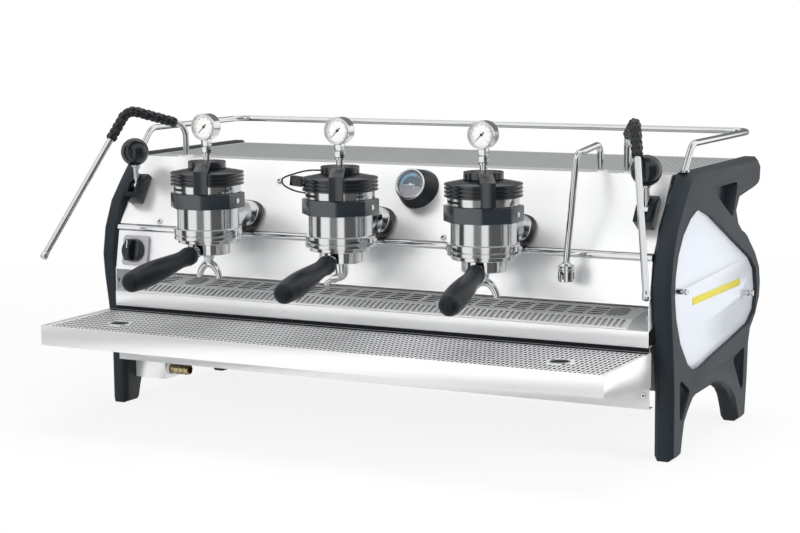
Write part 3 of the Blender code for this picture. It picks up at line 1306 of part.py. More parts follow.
def inside(root):
    """Steam boiler, three coffee boilers and the electrical box, on the base pan."""
    shell = turned_mesh(boiler_profile(STEAM_BOILER_R, STEAM_BOILER_LENGTH, BOILER_DISH))
    steam = piece("steam_boiler", shell, COPPER, root,
                  (STEAM_BOILER_X, STEAM_BOILER_Y, STEAM_BOILER_Z), ALONG_X)
    floor = BASE_Z + SHEET / 2 + SEAT_GAP
    leg_height = STEAM_BOILER_Z - floor
    leg = box_mesh(BOILER_LEG, STEAM_BOILER_R * 2, leg_height)
    for side in (-1, 1):
        join(steam, leg, (STEAM_BOILER_X + side * STEAM_BOILER_LENGTH / 3, STEAM_BOILER_Y,
                          floor + leg_height / 2))
    boiler = turned_mesh(boiler_profile(COFFEE_BOILER_R, COFFEE_BOILER_LENGTH, COFFEE_BOILER_DISH),
                         BALL_STEPS)
    middle = COFFEE_BOILER_FRONT_Y + COFFEE_BOILER_LENGTH / 2
    boilers = piece("coffee_boilers", boiler, COPPER, root, (0, middle, NECK_Z), FRONT_TURN)
    for x in (-GROUP_PITCH, GROUP_PITCH):
        join(boilers, boiler, (x, middle, NECK_Z), FRONT_TURN)
    join(boilers, rod_mesh(FEED_PIPE_R, 2 * GROUP_PITCH, SMALL_STEPS), (0, middle, NECK_Z), ALONG_X)
    x, y, z = CONTROL_SIZE
    piece("control_box", box_mesh(x, y, z), PAINTED_STEEL, root, (CONTROL_X, CONTROL_Y, floor + z / 2))


def sensor_cable(root):
    """The middle group's sensor, and the lead that loops from its cap to its band."""
    low = (BAND_LOW_Z + BAND_TOP_Z) / 2
    top = BAND_TOP_Z + CAP_HEIGHT + CAP_CROWN_RISE + CABLE_R + 2 * SEAT_GAP
    points = []
    for out, rise in CABLE_SHARES:
        points.append((-CABLE_REACH * out, GROUP_Y, low + (top - low) * rise))
    points.append((-BAND_R - SEAT_GAP, GROUP_Y, low))
    piece("sensor_cable", tube_mesh(points, CABLE_R, 1), BLACK_PLASTIC, root)
    x, y, z = SENSOR_SIZE
    piece("cap_sensor", box_mesh(x, y, z), BLACK_PLASTIC, root,
          (-CAP_R - SEAT_GAP - x / 2, GROUP_Y, BAND_TOP_Z + z / 2))


def centre_on_footprint(root):
    """Move the machine along Y so that its bounding box is centred."""
    bpy.context.view_layer.update()
    graph = bpy.context.evaluated_depsgraph_get()
    reach = []
    for made in parts.objects:
        if made.type == "MESH":
            solid = made.evaluated_get(graph)
            reach += [(solid.matrix_world @ vertex.co).y for vertex in solid.data.vertices]
    root.location.y = -(min(reach) + max(reach)) / 2
    bpy.context.view_layer.update()


def build():
    root = empty("machine", None, (0, 0, 0))
    side_panel(root, "left", -1)
    side_panel(root, "right", 1)
    casing(root)
    deck(root)
    drip_tray(root)
    drain(root)
    brew_groups(root)
    boiler_gauge(root)
    steam_wand(root, "left", -1)
    steam_wand(root, "right", 1)
    hot_water_tap(root)
    steam_lever(root, "left", -1)
    steam_lever(root, "right", 1)
    rotary_switch(root)
    cup_rail(root)
    inside(root)
    sensor_cable(root)
    centre_on_footprint(root)


build()
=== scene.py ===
"""Dresses the espresso machine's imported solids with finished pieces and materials.

Laid out as an add-on: the sizes and colours are properties, each family of
pieces is an operator, and a panel in the 3D view's sidebar lists them.
Metres, +Z up; the machine's front faces -Y and its right side is +X.
"""
import json
import math

import bmesh
import bpy
from bpy.props import FloatProperty, FloatVectorProperty, IntProperty, PointerProperty
from mathutils import Matrix, Vector

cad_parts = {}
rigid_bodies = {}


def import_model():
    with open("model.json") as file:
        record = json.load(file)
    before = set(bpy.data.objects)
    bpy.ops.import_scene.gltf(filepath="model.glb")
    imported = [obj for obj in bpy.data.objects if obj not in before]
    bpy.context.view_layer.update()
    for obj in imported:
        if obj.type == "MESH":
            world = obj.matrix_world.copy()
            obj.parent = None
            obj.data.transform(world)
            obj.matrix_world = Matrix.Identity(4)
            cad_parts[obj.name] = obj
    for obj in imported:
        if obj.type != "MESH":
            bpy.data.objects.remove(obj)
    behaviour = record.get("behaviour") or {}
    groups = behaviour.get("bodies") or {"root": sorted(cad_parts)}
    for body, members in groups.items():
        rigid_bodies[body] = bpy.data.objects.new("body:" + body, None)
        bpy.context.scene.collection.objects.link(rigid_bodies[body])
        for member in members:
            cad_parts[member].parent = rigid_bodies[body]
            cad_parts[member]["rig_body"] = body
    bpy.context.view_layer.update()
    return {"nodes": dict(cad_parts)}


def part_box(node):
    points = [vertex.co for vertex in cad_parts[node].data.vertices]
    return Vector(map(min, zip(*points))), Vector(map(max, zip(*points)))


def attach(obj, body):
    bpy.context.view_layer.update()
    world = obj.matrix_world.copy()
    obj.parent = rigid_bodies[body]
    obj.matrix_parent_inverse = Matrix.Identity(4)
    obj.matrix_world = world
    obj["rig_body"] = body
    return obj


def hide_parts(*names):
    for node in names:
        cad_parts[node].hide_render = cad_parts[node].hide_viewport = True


bl_info = {
    "name": "Espresso Machine Finish",
    "version": (1, 0, 0),
    "blender": (4, 5, 0),
    "location": "View3D > Sidebar > Machine",
    "description": "Finished pieces, materials and studio for a countertop espresso machine",
    "category": "Object",
}

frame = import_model()

QUARTER = math.pi / 2
SIDES = (("left", -1), ("right", 1))
GROUPS = ("left", "middle", "right")
TO_FRONT = Matrix.Rotation(QUARTER, 4, "X")
TO_RIGHT = Matrix.Rotation(QUARTER, 4, "Y")
# Stands a prism on its side: its outline lies in (y, z) and its height along X
ALONG_X = Matrix(((0, 0, 1), (1, 0, 0), (0, 1, 0))).to_4x4()


# Places read from the frame

def middle_of(node):
    low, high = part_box(node)
    return (Vector(low) + Vector(high)) / 2


def group_axis(name):
    """Centre of a group's cap, on the counter."""
    middle = middle_of("group_cap_" + name)
    return Vector((middle.x, middle.y, 0.0))


GROUP_Y = group_axis("middle").y
# The lengths below were measured from the group axis, which lies this far behind the origin
SHIFT = GROUP_Y + 0.262


def world_at(x, y, z):
    """A point measured in the frame of the photograph, whose groups stand at y = -0.262."""
    return Vector((x, y + SHIFT, z))


# The polished panel's outer face in section, from the seam up to its top edge
SEAM = world_at(0, -0.180, 0.300)
TOP_EDGE = world_at(0, -0.105, 0.4145)


def panel_up():
    return (TOP_EDGE - SEAM).normalized()


def panel_place(x, z, out=0.0012):
    """A point at a height on the polished panel, a little out from its face."""
    up = panel_up()
    point = SEAM + up * ((z - SEAM.z) / up.z)
    normal = Vector((0, -up.z, up.y))
    return Vector((x, 0, 0)) + point + normal * out


def panel_frame(x, z):
    """Places a shape on the polished panel: X across, Y up the panel, Z outward."""
    up = panel_up()
    normal = Vector((0, -up.z, up.y))
    turn = Matrix((Vector((1, 0, 0)), up, normal)).transposed().to_4x4()
    return Matrix.Translation(panel_place(x, z, 0.001)) @ turn


def colour_property(name, description, default):
    return FloatVectorProperty(name=name, description=description, default=default,
                               subtype="COLOR", size=3, min=0.0, max=1.0)


def length_property(name, description, default):
    return FloatProperty(name=name, description=description, default=default,
                         unit="LENGTH", subtype="DISTANCE", min=0.0)


def share_property(name, description, default):
    return FloatProperty(name=name, description=description, default=default,
                         subtype="FACTOR", min=0.0, max=1.0)


def angle_property(name, description, degrees):
    return FloatProperty(name=name, description=description,
                         default=math.radians(degrees), unit="ROTATION", subtype="ANGLE")


# Properties

class FinishColours(bpy.types.PropertyGroup):
    """Colours of the machine's finishes."""
    polished: colour_property("Polished steel", "Upper panel and trim", (0.93, 0.935, 0.94))
    brushed: colour_property("Brushed steel", "Deck, skirt and trays", (0.88, 0.885, 0.89))
    satin: colour_property("Satin steel", "Slotted and pierced sheets", (0.88, 0.89, 0.90))
    lining: colour_property("Bright steel", "Deck plate and recess", (0.93, 0.935, 0.94))
    mesh: colour_property("Cup tray", "Finely pierced sheet", (0.50, 0.52, 0.51))
    chrome: colour_property("Chrome", "Tubes, gauges and portafilters", (0.66, 0.67, 0.68))
    brew: colour_property("Brew steel", "Turned bodies of the groups", (0.64, 0.65, 0.66))
    cast: colour_property("Cast black", "Side panels and collars", (0.012, 0.018, 0.024))
    plastic: colour_property("Black plastic", "Caps, paddles and grips", (0.006, 0.008, 0.011))
    rubber: colour_property("Black rubber", "Wand grips and gaskets", (0.004, 0.005, 0.007))
    plate: colour_property("Grey plastic", "Switch plate", (0.42, 0.42, 0.45))
    insert: colour_property("Pale insert", "Sheets in the side windows", (0.66, 0.69, 0.75))
    bar: colour_property("Yellow bar", "Plain bar on the side insert", (0.66, 0.56, 0.03))
    dial: colour_property("Dial", "Faces of the group gauges", (0.86, 0.86, 0.84))
    boiler_dial: colour_property("Boiler dial", "Face of the boiler gauge", (0.15, 0.19, 0.23))
    arc: colour_property("Dial arc", "Scale of the boiler gauge", (0.25, 0.48, 0.66))
    ink: colour_property("Ink", "Marks on the dials", (0.012, 0.012, 0.014))
    brass: colour_property("Brass", "Drain barb", (0.42, 0.35, 0.20))
    copper: colour_property("Copper", "Boilers", (0.70, 0.38, 0.24))
    paint: colour_property("Grey paint", "Base pan and control box", (0.42, 0.43, 0.44))
    floor: colour_property("Floor", "Floor and backdrop", (0.90, 0.90, 0.90))


class StudioSizes(bpy.types.PropertyGroup):
    """Camera, lamps and floor."""
    lens: FloatProperty(name="Lens", description="Focal length in millimetres",
                        default=86.75, subtype="DISTANCE_CAMERA")
    floor_half: length_property("Floor", "Half of the floor's width", 14.0)
    key_power: FloatProperty(name="Key lamp", description="Power in watts", default=74.0)
    fill_power: FloatProperty(name="Right lamp", description="Power in watts", default=52.0)
    top_power: FloatProperty(name="Top lamp", description="Power in watts", default=50.0)
    ambient: share_property("Ambient", "Strength of the world's soft light", 0.35)
    floor_glow: share_property("Floor glow", "Share of the floor that casts no shade", 0.85)


class MetalSizes(bpy.types.PropertyGroup):
    """Edges and grain of the metal pieces."""
    soft_edge: length_property("Soft edge", "Rounding of the sheet and cast edges", 0.0006)
    cast_edge: length_property("Cast edge", "Rounding of the cast side panels", 0.0012)
    wear_width: length_property("Wear", "Reach of the wear along edges", 0.0012)
    screw_radius: length_property("Screw", "Radius of the round screw heads", 0.0045)


class GroupSizes(bpy.types.PropertyGroup):
    """The brew groups' turned pieces."""
    brew_radius: length_property("Brew body", "Radius of the brew body", 0.0485)
    flange_radius: length_property("Flange", "Radius of the flange", 0.0535)
    low_radius: length_property("Lower ring", "Radius of the ring under the flange", 0.0475)
    band_radius: length_property("Band", "Radius of the band under the cap", 0.0525)
    cap_radius: length_property("Cap", "Radius of the finned cap", 0.0575)
    fin_count: IntProperty(name="Fins", description="Fins round the cap", default=4, min=2)
    hub_radius: length_property("Hub", "Radius of the paddle's hub", 0.0295)
    strap_width: length_property("Strap", "Width of the paddle's strap", 0.022)
    collar_flats: length_property("Collar", "Distance across the collar's flats", 0.109)


class GaugeSizes(bpy.types.PropertyGroup):
    """The pressure gauges."""
    radius: length_property("Case", "Radius of a group gauge", 0.0208)
    depth: length_property("Depth", "Depth of a group gauge", 0.023)
    bezel: length_property("Bezel", "Width of the bezel", 0.0026)
    tick_count: IntProperty(name="Ticks", description="Marks round the dial", default=33, min=5)
    sweep: angle_property("Sweep", "Angle that the scale covers", 270)


class PortafilterSizes(bpy.types.PropertyGroup):
    """Portafilter bowls, spouts and grips."""
    bowl_radius: length_property("Bowl", "Radius of the bowl", 0.033)
    rim_radius: length_property("Rim", "Radius of the rim in the bayonet", 0.035)
    grip_radius: length_property("Grip", "Largest radius of the grip", 0.018)
    grip_start: length_property("Grip start", "Distance from the group axis", 0.046)
    grip_end: length_property("Grip end", "Distance from the group axis", 0.2067)
    grip_drop: angle_property("Grip drop", "Slope of the grip below level", 9.2)
    spout_spread: length_property("Spouts", "Reach of each spout from the axis", 0.0195)


class WandSizes(bpy.types.PropertyGroup):
    """Steam wands, hot water tap and levers."""
    tube_radius: length_property("Tube", "Radius of the wand's tube", 0.005)
    grip_radius: length_property("Grip", "Outer radius of the knobbed grip", 0.0088)
    knob_rows: IntProperty(name="Knob rows", description="Rows of knobs on a grip", default=15)
    knob_turns: IntProperty(name="Knobs", description="Knobs round a row", default=6)
    ball_radius: length_property("Ball", "Radius of the lever's ball", 0.023)
    nozzle_radius: length_property("Nozzle", "Radius of the tap's nozzle", 0.012)


class SheetSizes(bpy.types.PropertyGroup):
    """Slots and holes of the deck, the trays and the grate."""
    deck_cell: length_property("Deck cell", "Pitch of the deck's long slots", 0.0307)
    deck_slot: length_property("Deck slot", "Length of the deck's long slots", 0.0248)
    strip_pitch: length_property("Strip pitch", "Pitch of the front strip's slots", 0.0094)
    grate_pitch: length_property("Grate pitch", "Pitch of the grate's slots", 0.0072)
    grate_row: length_property("Grate row", "Depth of one row of the grate", 0.0165)
    hole_pitch: length_property("Hole pitch", "Pitch of the cup tray's holes", 0.0078)


# Shapes as vertices and faces

ON_AXIS = 1e-7
# Corners are rounded up to this share of a side; shorter arcs and flatter corners are left
SOFT_SHARE = 0.45
LEAST_ARC = 1e-6
NEARLY_STRAIGHT = 0.999


def join_shapes(shapes):
    """One list of vertices and one of faces."""
    points, faces = [], []
    for some_points, some_faces in shapes:
        start = len(points)
        points += some_points
        faces += [tuple(start + i for i in face) for face in some_faces]
    return points, faces


def moved(shape, matrix):
    points, faces = shape
    flip = matrix.determinant() < 0
    return ([matrix @ Vector(p) for p in points],
            [tuple(reversed(f)) if flip else f for f in faces])


def at(x, y, z):
    return Matrix.Translation((x, y, z))


def spun(degrees, axis="Z"):
    return Matrix.Rotation(math.radians(degrees), 4, axis)


def turned(profile, steps=64, closed=False):
    """A solid of revolution about Z from (radius, height) points, top to bottom."""
    points, faces, rings = [], [], []
    for radius, height in profile:
        if radius < ON_AXIS:
            rings.append([len(points)] * steps)
            points.append(Vector((0, 0, height)))
            continue
        rings.append([len(points) + i for i in range(steps)])
        for i in range(steps):
            angle = 2 * math.pi * i / steps
            points.append(Vector((radius * math.cos(angle), radius * math.sin(angle), height)))
    pairs = list(zip(rings, rings[1:]))
    if closed:
        pairs.append((rings[-1], rings[0]))
    for upper, lower in pairs:
        for i in range(steps):
            j = (i + 1) % steps
            face = [upper[i], lower[i], lower[j], upper[j]]
            face = [p for k, p in enumerate(face) if p != face[k - 1]]
            if len(face) > 2:
                faces.append(tuple(face))
    return points, faces


def softened(profile, radius, steps=3):
    """The profile with its corners rounded, as far as each side allows."""
    made = [profile[0]]
    for before, here, after in zip(profile, profile[1:], profile[2:]):
        here = Vector(here)
        back = Vector(before) - here
        ahead = Vector(after) - here
        reach = min(radius, back.length * SOFT_SHARE, ahead.length * SOFT_SHARE)
        straight = abs(back.normalized().dot(ahead.normalized())) > NEARLY_STRAIGHT
        if reach < LEAST_ARC or straight:
            made.append(tuple(here))
            continue
        start = here + back.normalized() * reach
        end = here + ahead.normalized() * reach
        for step in range(steps + 1):
            share = step / steps
            point = (start * (1 - share) ** 2 + here * 2 * share * (1 - share)
                     + end * share ** 2)
            made.append(tuple(point))
    made.append(profile[-1])
    return made


def lathe(profile, steps, soft, closed=False):
    """A solid of revolution with softened corners."""
    return turned(softened(profile, soft), steps, closed)


def extruded(outline, low, high):
    """A prism of an (x, y) outline, counter-clockwise, between two heights."""
    count = len(outline)
    points = [Vector((x, y, low)) for x, y in outline]
    points += [Vector((x, y, high)) for x, y in outline]
    faces = [tuple(reversed(range(count))), tuple(range(count, 2 * count))]
    for i in range(count):
        j = (i + 1) % count
        faces.append((i, j, count + j, count + i))
    return points, faces


def block(x, y, z):
    """A box about the origin."""
    half_x, half_y = x / 2, y / 2
    outline = [(-half_x, -half_y), (half_x, -half_y), (half_x, half_y), (-half_x, half_y)]
    return extruded(outline, -z / 2, z / 2)


def bevelled(shape, width, segments=2, angle=30):
    """The shape with its sharp edges rounded."""
    points, faces = shape
    form = bmesh.new()
    made = [form.verts.new(p) for p in points]
    for face in faces:
        form.faces.new([made[i] for i in face])
    form.normal_update()
    limit = math.radians(angle)
    sharp = [e for e in form.edges if e.is_manifold and e.calc_face_angle() > limit]
    bmesh.ops.bevel(form, geom=sharp, offset=width, segments=segments, profile=0.5,
                    affect="EDGES", clamp_overlap=True)
    form.verts.index_update()
    result = ([v.co.copy() for v in form.verts],
              [tuple(v.index for v in f.verts) for f in form.faces])
    form.free()
    return result


def rounded_path(corners, radius, steps=10):
    """The path through the corners, with an arc in place of each inner corner."""
    corners = [Vector(c) for c in corners]
    path = [corners[0]]
    for before, here, after in zip(corners, corners[1:], corners[2:]):
        back = (before - here).normalized()
        ahead = (after - here).normalized()
        half = back.angle(ahead) / 2
        reach = radius / math.tan(half)
        centre = here + (back + ahead).normalized() * radius / math.sin(half)
        start = here + back * reach - centre
        end = here + ahead * reach - centre
        for step in range(steps + 1):
            path.append(centre + start.slerp(end, step / steps).normalized() * radius)
    path.append(corners[-1])
    return path


def sampled(path, start, length, count):
    """Points at even steps along a length of the path."""
    made = []
    for index in range(count + 1):
        distance = start + length * index / count
        for before, after in zip(path, path[1:]):
            step = (after - before).length
            if distance <= step:
                break
            distance -= step
        made.append(before.lerp(after, min(distance / step, 1.0)))
    return made


def tube(path, radius_at, sides=20, closed=False):
    """A round tube; radius_at is a number, or a function of the point's place and the angle."""
    count = len(path)
    points, faces = [], []
    tangents = []
    for i in range(count):
        before = path[i - 1] if i or closed else path[0]
        after = path[(i + 1) % count] if i < count - 1 or closed else path[-1]
        tangents.append((after - before).normalized())
    side = tangents[0].orthogonal().normalized()
    for i, point in enumerate(path):
        side = (side - tangents[i] * side.dot(tangents[i])).normalized()
        other = tangents[i].cross(side)
        for k in range(sides):
            angle = 2 * math.pi * k / sides
            radius = radius_at(i, angle) if callable(radius_at) else radius_at
            points.append(point + (side * math.cos(angle) + other * math.sin(angle)) * radius)
    for i in range(count if closed else count - 1):
        j = (i + 1) % count
        for k in range(sides):
            n = (k + 1) % sides
            faces.append((i * sides + k, i * sides + n, j * sides + n, j * sides + k))
    if not closed:
        faces.append(tuple(reversed(range(sides))))
        faces.append(tuple(range((count - 1) * sides, count * sides)))
    return points, faces


def smooth_curve(points, steps=5):
    """Points on a smooth curve through the given points."""
    ends = [points[0]] + list(points) + [points[-1]]
    made = []
    for a, b, c, d in zip(ends, ends[1:], ends[2:], ends[3:]):
        a, b, c, d = (Vector(p) for p in (a, b, c, d))
        for step in range(steps):
            t = step / steps
            made.append(tuple(0.5 * ((2 * b) + (c - a) * t + (2 * a - 5 * b + 4 * c - d) * t * t
                                     + (3 * b - a - 3 * c + d) * t ** 3)))
    made.append(tuple(points[-1]))
    return made


def arc_band(inner, outer, low, high, start, end, steps=24):
    """A curved bar about Z between two angles in degrees."""
    turns = [math.radians(start + (end - start) * step / steps) for step in range(steps + 1)]
    outline = [(outer * math.cos(angle), outer * math.sin(angle)) for angle in turns]
    outline += [(inner * math.cos(angle), inner * math.sin(angle)) for angle in reversed(turns)]
    count = steps + 1
    points = [Vector((x, y, z)) for z in (low, high) for x, y in outline]
    total = 2 * count
    faces = []
    for i in range(steps):
        j = total - 1 - i
        faces.append((total + i, total + i + 1, total + j - 1, total + j))
        faces.append((j, j - 1, i + 1, i))
    for i in range(total):
        j = (i + 1) % total
        faces.append((i, j, total + j, total + i))
    return points, faces


def ring_outline(across, high, steps=64, square=0.7):
    """A closed curve between an oval (square = 1) and a rectangle (square = 0)."""
    outline = []
    for step in range(steps):
        angle = 2 * math.pi * step / steps
        cosine, sine = math.cos(angle), math.sin(angle)
        outline.append((across * math.copysign(abs(cosine) ** square, cosine),
                        high * math.copysign(abs(sine) ** square, sine)))
    return outline


def punched(columns, rows, holes, thick):
    """A flat sheet of cells in XY, each with a hole or none.

    columns and rows are the cell borders; holes(i, j) gives a cell's hole as a ring of
    points, counter-clockwise, whose count is a multiple of four and which starts at the
    lower left corner's side, or None.
    """
    points, faces, corner = [], [], {}

    def border(i, j):
        if (i, j) not in corner:
            corner[(i, j)] = len(points)
            for height in (0.0, -thick):
                points.append(Vector((columns[i], rows[j], height)))
        return corner[(i, j)]

    open_edges = {}
    for i in range(len(columns) - 1):
        for j in range(len(rows) - 1):
            ring = [border(i, j), border(i + 1, j), border(i + 1, j + 1), border(i, j + 1)]
            for k in range(4):
                edge = (ring[k], ring[(k + 1) % 4])
                if edge[::-1] in open_edges:
                    del open_edges[edge[::-1]]
                else:
                    open_edges[edge] = True
            hole = holes(i, j)
            if not hole:
                faces.append(tuple(ring))
                faces.append(tuple(p + 1 for p in reversed(ring)))
                continue
            first = len(points)
            count = len(hole)
            for x, y in hole:
                for height in (0.0, -thick):
                    points.append(Vector((x, y, height)))
            quarter = count // 4
            for k in range(4):
                for m in range(quarter):
                    a = first + 2 * ((k * quarter + m) % count)
                    b = first + 2 * ((k * quarter + m + 1) % count)
                    if m < quarter - 1:
                        top = (ring[k], b, a)
                    else:
                        top = (ring[k], ring[(k + 1) % 4], b, a)
                    faces.append(top)
                    faces.append(tuple(p + 1 for p in reversed(top)))
            for m in range(count):
                a = first + 2 * m
                b = first + 2 * ((m + 1) % count)
                faces.append((a, b, b + 1, a + 1))
    for a, b in open_edges:
        faces.append((b, a, a + 1, b + 1))
    return points, faces


def slot_ring(x, y, length, width, along_x, bends=2):
    """An obround hole's points, counter-clockwise from its lower left quarter."""
    half = max(length - width, 0.0) / 2
    radius = width / 2
    made = []
    for quarter, (sx, sy) in enumerate(((-1, -1), (1, -1), (1, 1), (-1, 1))):
        for step in range(bends):
            share = step / (bends - 1)
            angle = math.pi + (quarter + share) * QUARTER
            dx = radius * math.cos(angle) + (sx * half if along_x else 0.0)
            dy = radius * math.sin(angle) + (0.0 if along_x else sy * half)
            made.append((x + dx, y + dy))
    return made


# Brightness of the studio's walls from each azimuth on, in degrees from the machine's front
WALLS = [(-180, 0.22), (-108, 0.90), (-68, 0.08), (-46, 1.22), (-10, 0.30), (18, 1.15),
         (42, 0.14), (84, 0.10), (98, 0.70), (120, 1.25), (166, 0.22), (180, 0.22)]
WALL_EDGE = 1.5
# Heights of a direction between which the walls give way to the sky, and the sky to the dark
# overhead
SKY_START = (0.42, 0.72)
OVERHEAD = (0.88, 0.97)
OVERHEAD_SHARE = 0.3
SKY = 1.12


# Node trees

FLOAT = "NodeSocketFloat"
COLOUR = "NodeSocketColor"
VECTOR = "NodeSocketVector"


def node(tree, kind, values=None, **settings):
    """A new node with its settings, and its inputs set to constants or linked to sockets."""
    made = tree.nodes.new(kind)
    for key, value in settings.items():
        setattr(made, key, value)
    for key, value in (values or {}).items():
        if isinstance(value, bpy.types.NodeSocket):
            tree.links.new(value, made.inputs[key])
        else:
            made.inputs[key].default_value = value
    return made


def effect(name, inputs, outputs):
    """An empty shader node group: its tree, the sockets that come in and those that go out."""
    tree = bpy.data.node_groups.new(name, "ShaderNodeTree")
    for label, kind, value in inputs:
        socket = tree.interface.new_socket(name=label, in_out="INPUT", socket_type=kind)
        socket.default_value = value
    for label, kind in outputs:
        tree.interface.new_socket(name=label, in_out="OUTPUT", socket_type=kind)
    return tree, tree.nodes.new("NodeGroupInput").outputs, tree.nodes.new("NodeGroupOutput").inputs


def use_effect(tree, group, values):
    """The outputs of an effect, placed in a tree with its own values."""
    return node(tree, "ShaderNodeGroup", values, node_tree=group).outputs


def math_node(tree, operation, first, second=0.5, clamp=False):
    return node(tree, "ShaderNodeMath", {0: first, 1: second},
                operation=operation, use_clamp=clamp).outputs[0]


def noise(tree, values, place=None):
    """A noise over the object's own coordinates, unless it is given a place."""
    place = place or node(tree, "ShaderNodeTexCoord").outputs["Object"]
    return node(tree, "ShaderNodeTexNoise", {"Vector": place, **values}).outputs["Fac"]


def swung(tree, cloud, amount, middle, clamp=False):
    """A value that a noise swings about its middle."""
    swing = math_node(tree, "MULTIPLY", math_node(tree, "SUBTRACT", cloud, 0.5), amount)
    return math_node(tree, "ADD", swing, middle, clamp=clamp)


def mixed_colour(tree, mask, under, over):
    """One colour, and another over it where the mask is 1."""
    return node(tree, "ShaderNodeMix", {0: mask, 6: under, 7: (*over, 1.0)},
                data_type="RGBA").outputs[2]


def mottle_effect():
    """A colour that varies softly over the surface."""
    tree, given, out = effect(
        "Mottled colour",
        [("Colour", COLOUR, (1, 1, 1, 1)), ("Amount", FLOAT, 0.1), ("Scale", FLOAT, 12.0)],
        [("Colour", COLOUR)])
    cloud = noise(tree, {"Scale": given["Scale"], "Detail": 4.0, "Roughness": 0.6})
    tinted = node(tree, "ShaderNodeVectorMath", {
        0: given["Colour"], "Scale": swung(tree, cloud, given["Amount"], 1.0)}, operation="SCALE")
    tree.links.new(tinted.outputs["Vector"], out["Colour"])
    return tree


def gloss_effect():
    """A roughness that varies, as on a surface that hands have touched."""
    tree, given, out = effect(
        "Handled gloss",
        [("Roughness", FLOAT, 0.3), ("Spread", FLOAT, 0.1), ("Scale", FLOAT, 9.0)],
        [("Roughness", FLOAT)])
    cloud = noise(tree, {"Scale": given["Scale"], "Detail": 3.0, "Distortion": 0.4})
    total = swung(tree, cloud, given["Spread"], given["Roughness"], clamp=True)
    tree.links.new(total, out["Roughness"])
    return tree


def grain_effect():
    """Drawn lines, or an even grain where the stretch is even, as a height and as a mask."""
    tree, given, out = effect(
        "Drawn grain", [("Stretch", VECTOR, (1.0, 1.0, 1.0)), ("Depth", FLOAT, 0.5)],
        [("Height", FLOAT), ("Line", FLOAT)])
    place = node(tree, "ShaderNodeTexCoord").outputs["Object"]
    drawn = node(tree, "ShaderNodeVectorMath", {0: place, 1: given["Stretch"]},
                 operation="MULTIPLY").outputs["Vector"]
    fine = noise(tree, {"Scale": 1.0, "Detail": 5.0, "Roughness": 0.65}, drawn)
    tree.links.new(math_node(tree, "MULTIPLY", fine, given["Depth"]), out["Height"])
    tree.links.new(fine, out["Line"])
    return tree


WEAR_GAIN = 9.0


def wear_effect():
    """A mask of the rubbed edges, broken by a noise."""
    tree, given, out = effect(
        "Edge wear", [("Reach", FLOAT, 0.001), ("Amount", FLOAT, 0.5)], [("Mask", FLOAT)])
    rounded = node(tree, "ShaderNodeBevel", {"Radius": given["Reach"]}, samples=4)
    flat = node(tree, "ShaderNodeNewGeometry").outputs["Normal"]
    same = node(tree, "ShaderNodeVectorMath", {0: rounded.outputs["Normal"], 1: flat},
                operation="DOT_PRODUCT").outputs["Value"]
    edge = math_node(tree, "SUBTRACT", 1.0, same)
    broken = math_node(tree, "MULTIPLY", edge, noise(tree, {"Scale": 160.0, "Detail": 3.0}))
    strong = math_node(tree, "MULTIPLY", broken, WEAR_GAIN, clamp=True)
    tree.links.new(math_node(tree, "MULTIPLY", strong, given["Amount"]), out["Mask"])
    return tree


def dust_effect():
    """A mask of the faces that look up, broken by a noise."""
    tree, given, out = effect("Settled dust", [("Amount", FLOAT, 0.1)], [("Mask", FLOAT)])
    normal = node(tree, "ShaderNodeNewGeometry").outputs["Normal"]
    up = node(tree, "ShaderNodeSeparateXYZ", {0: normal}).outputs["Z"]
    up = math_node(tree, "MAXIMUM", up, 0.0)
    settled = math_node(tree, "MULTIPLY", up, noise(tree, {"Scale": 40.0, "Detail": 5.0}))
    tree.links.new(math_node(tree, "MULTIPLY", settled, given["Amount"]), out["Mask"])
    return tree


def studio_effect():
    """Brightness that gloss sees in a direction: light walls with dark gaps, and a pale sky."""
    tree, given, out = effect(
        "Studio walls", [("Vector", VECTOR, (0.0, 0.0, 1.0)), ("Sky", FLOAT, SKY)],
        [("Value", FLOAT)])
    parts = node(tree, "ShaderNodeSeparateXYZ", {0: given["Vector"]}).outputs
    ahead = math_node(tree, "MULTIPLY", parts["Y"], -1.0)
    turn = math_node(tree, "ARCTAN2", parts["X"], ahead)
    share = math_node(tree, "ADD", math_node(tree, "DIVIDE", turn, 2 * math.pi), 0.5)
    ramp = node(tree, "ShaderNodeValToRGB", {0: share})
    stops = ramp.color_ramp.elements
    levels = []
    for (start, level), (end, _) in zip(WALLS, WALLS[1:]):
        levels += [(start + WALL_EDGE, level), (end - WALL_EDGE, level)]
    for index, (degrees, level) in enumerate(levels):
        place = (degrees + 180) / 360
        stop = stops[index] if index < 2 else stops.new(place)
        stop.position = place
        stop.color = (level, level, level, 1.0)
    height = node(tree, "ShaderNodeMapRange", {0: parts["Z"], 1: SKY_START[0], 2: SKY_START[1]},
                  interpolation_type="SMOOTHSTEP").outputs[0]
    mixed = node(tree, "ShaderNodeMix", {0: height, 2: ramp.outputs["Color"], 3: given["Sky"]},
                 data_type="FLOAT").outputs[0]
    overhead = node(tree, "ShaderNodeMapRange", {
        0: parts["Z"], 1: OVERHEAD[0], 2: OVERHEAD[1], 3: 1.0, 4: OVERHEAD_SHARE},
        interpolation_type="SMOOTHSTEP").outputs[0]
    tree.links.new(math_node(tree, "MULTIPLY", mixed, overhead), out["Value"])
    return tree


def make_effects():
    """The effects that the materials share, and the one that the stage uses."""
    return {"mottle": mottle_effect(), "gloss": gloss_effect(), "grain": grain_effect(),
            "wear": wear_effect(), "dust": dust_effect(), "studio": studio_effect()}


COAT_ROUGHNESS = 0.08
RELIEF = 0.0002
LINE_SHADE = 0.45
DUST_COLOUR = (0.35, 0.34, 0.32)


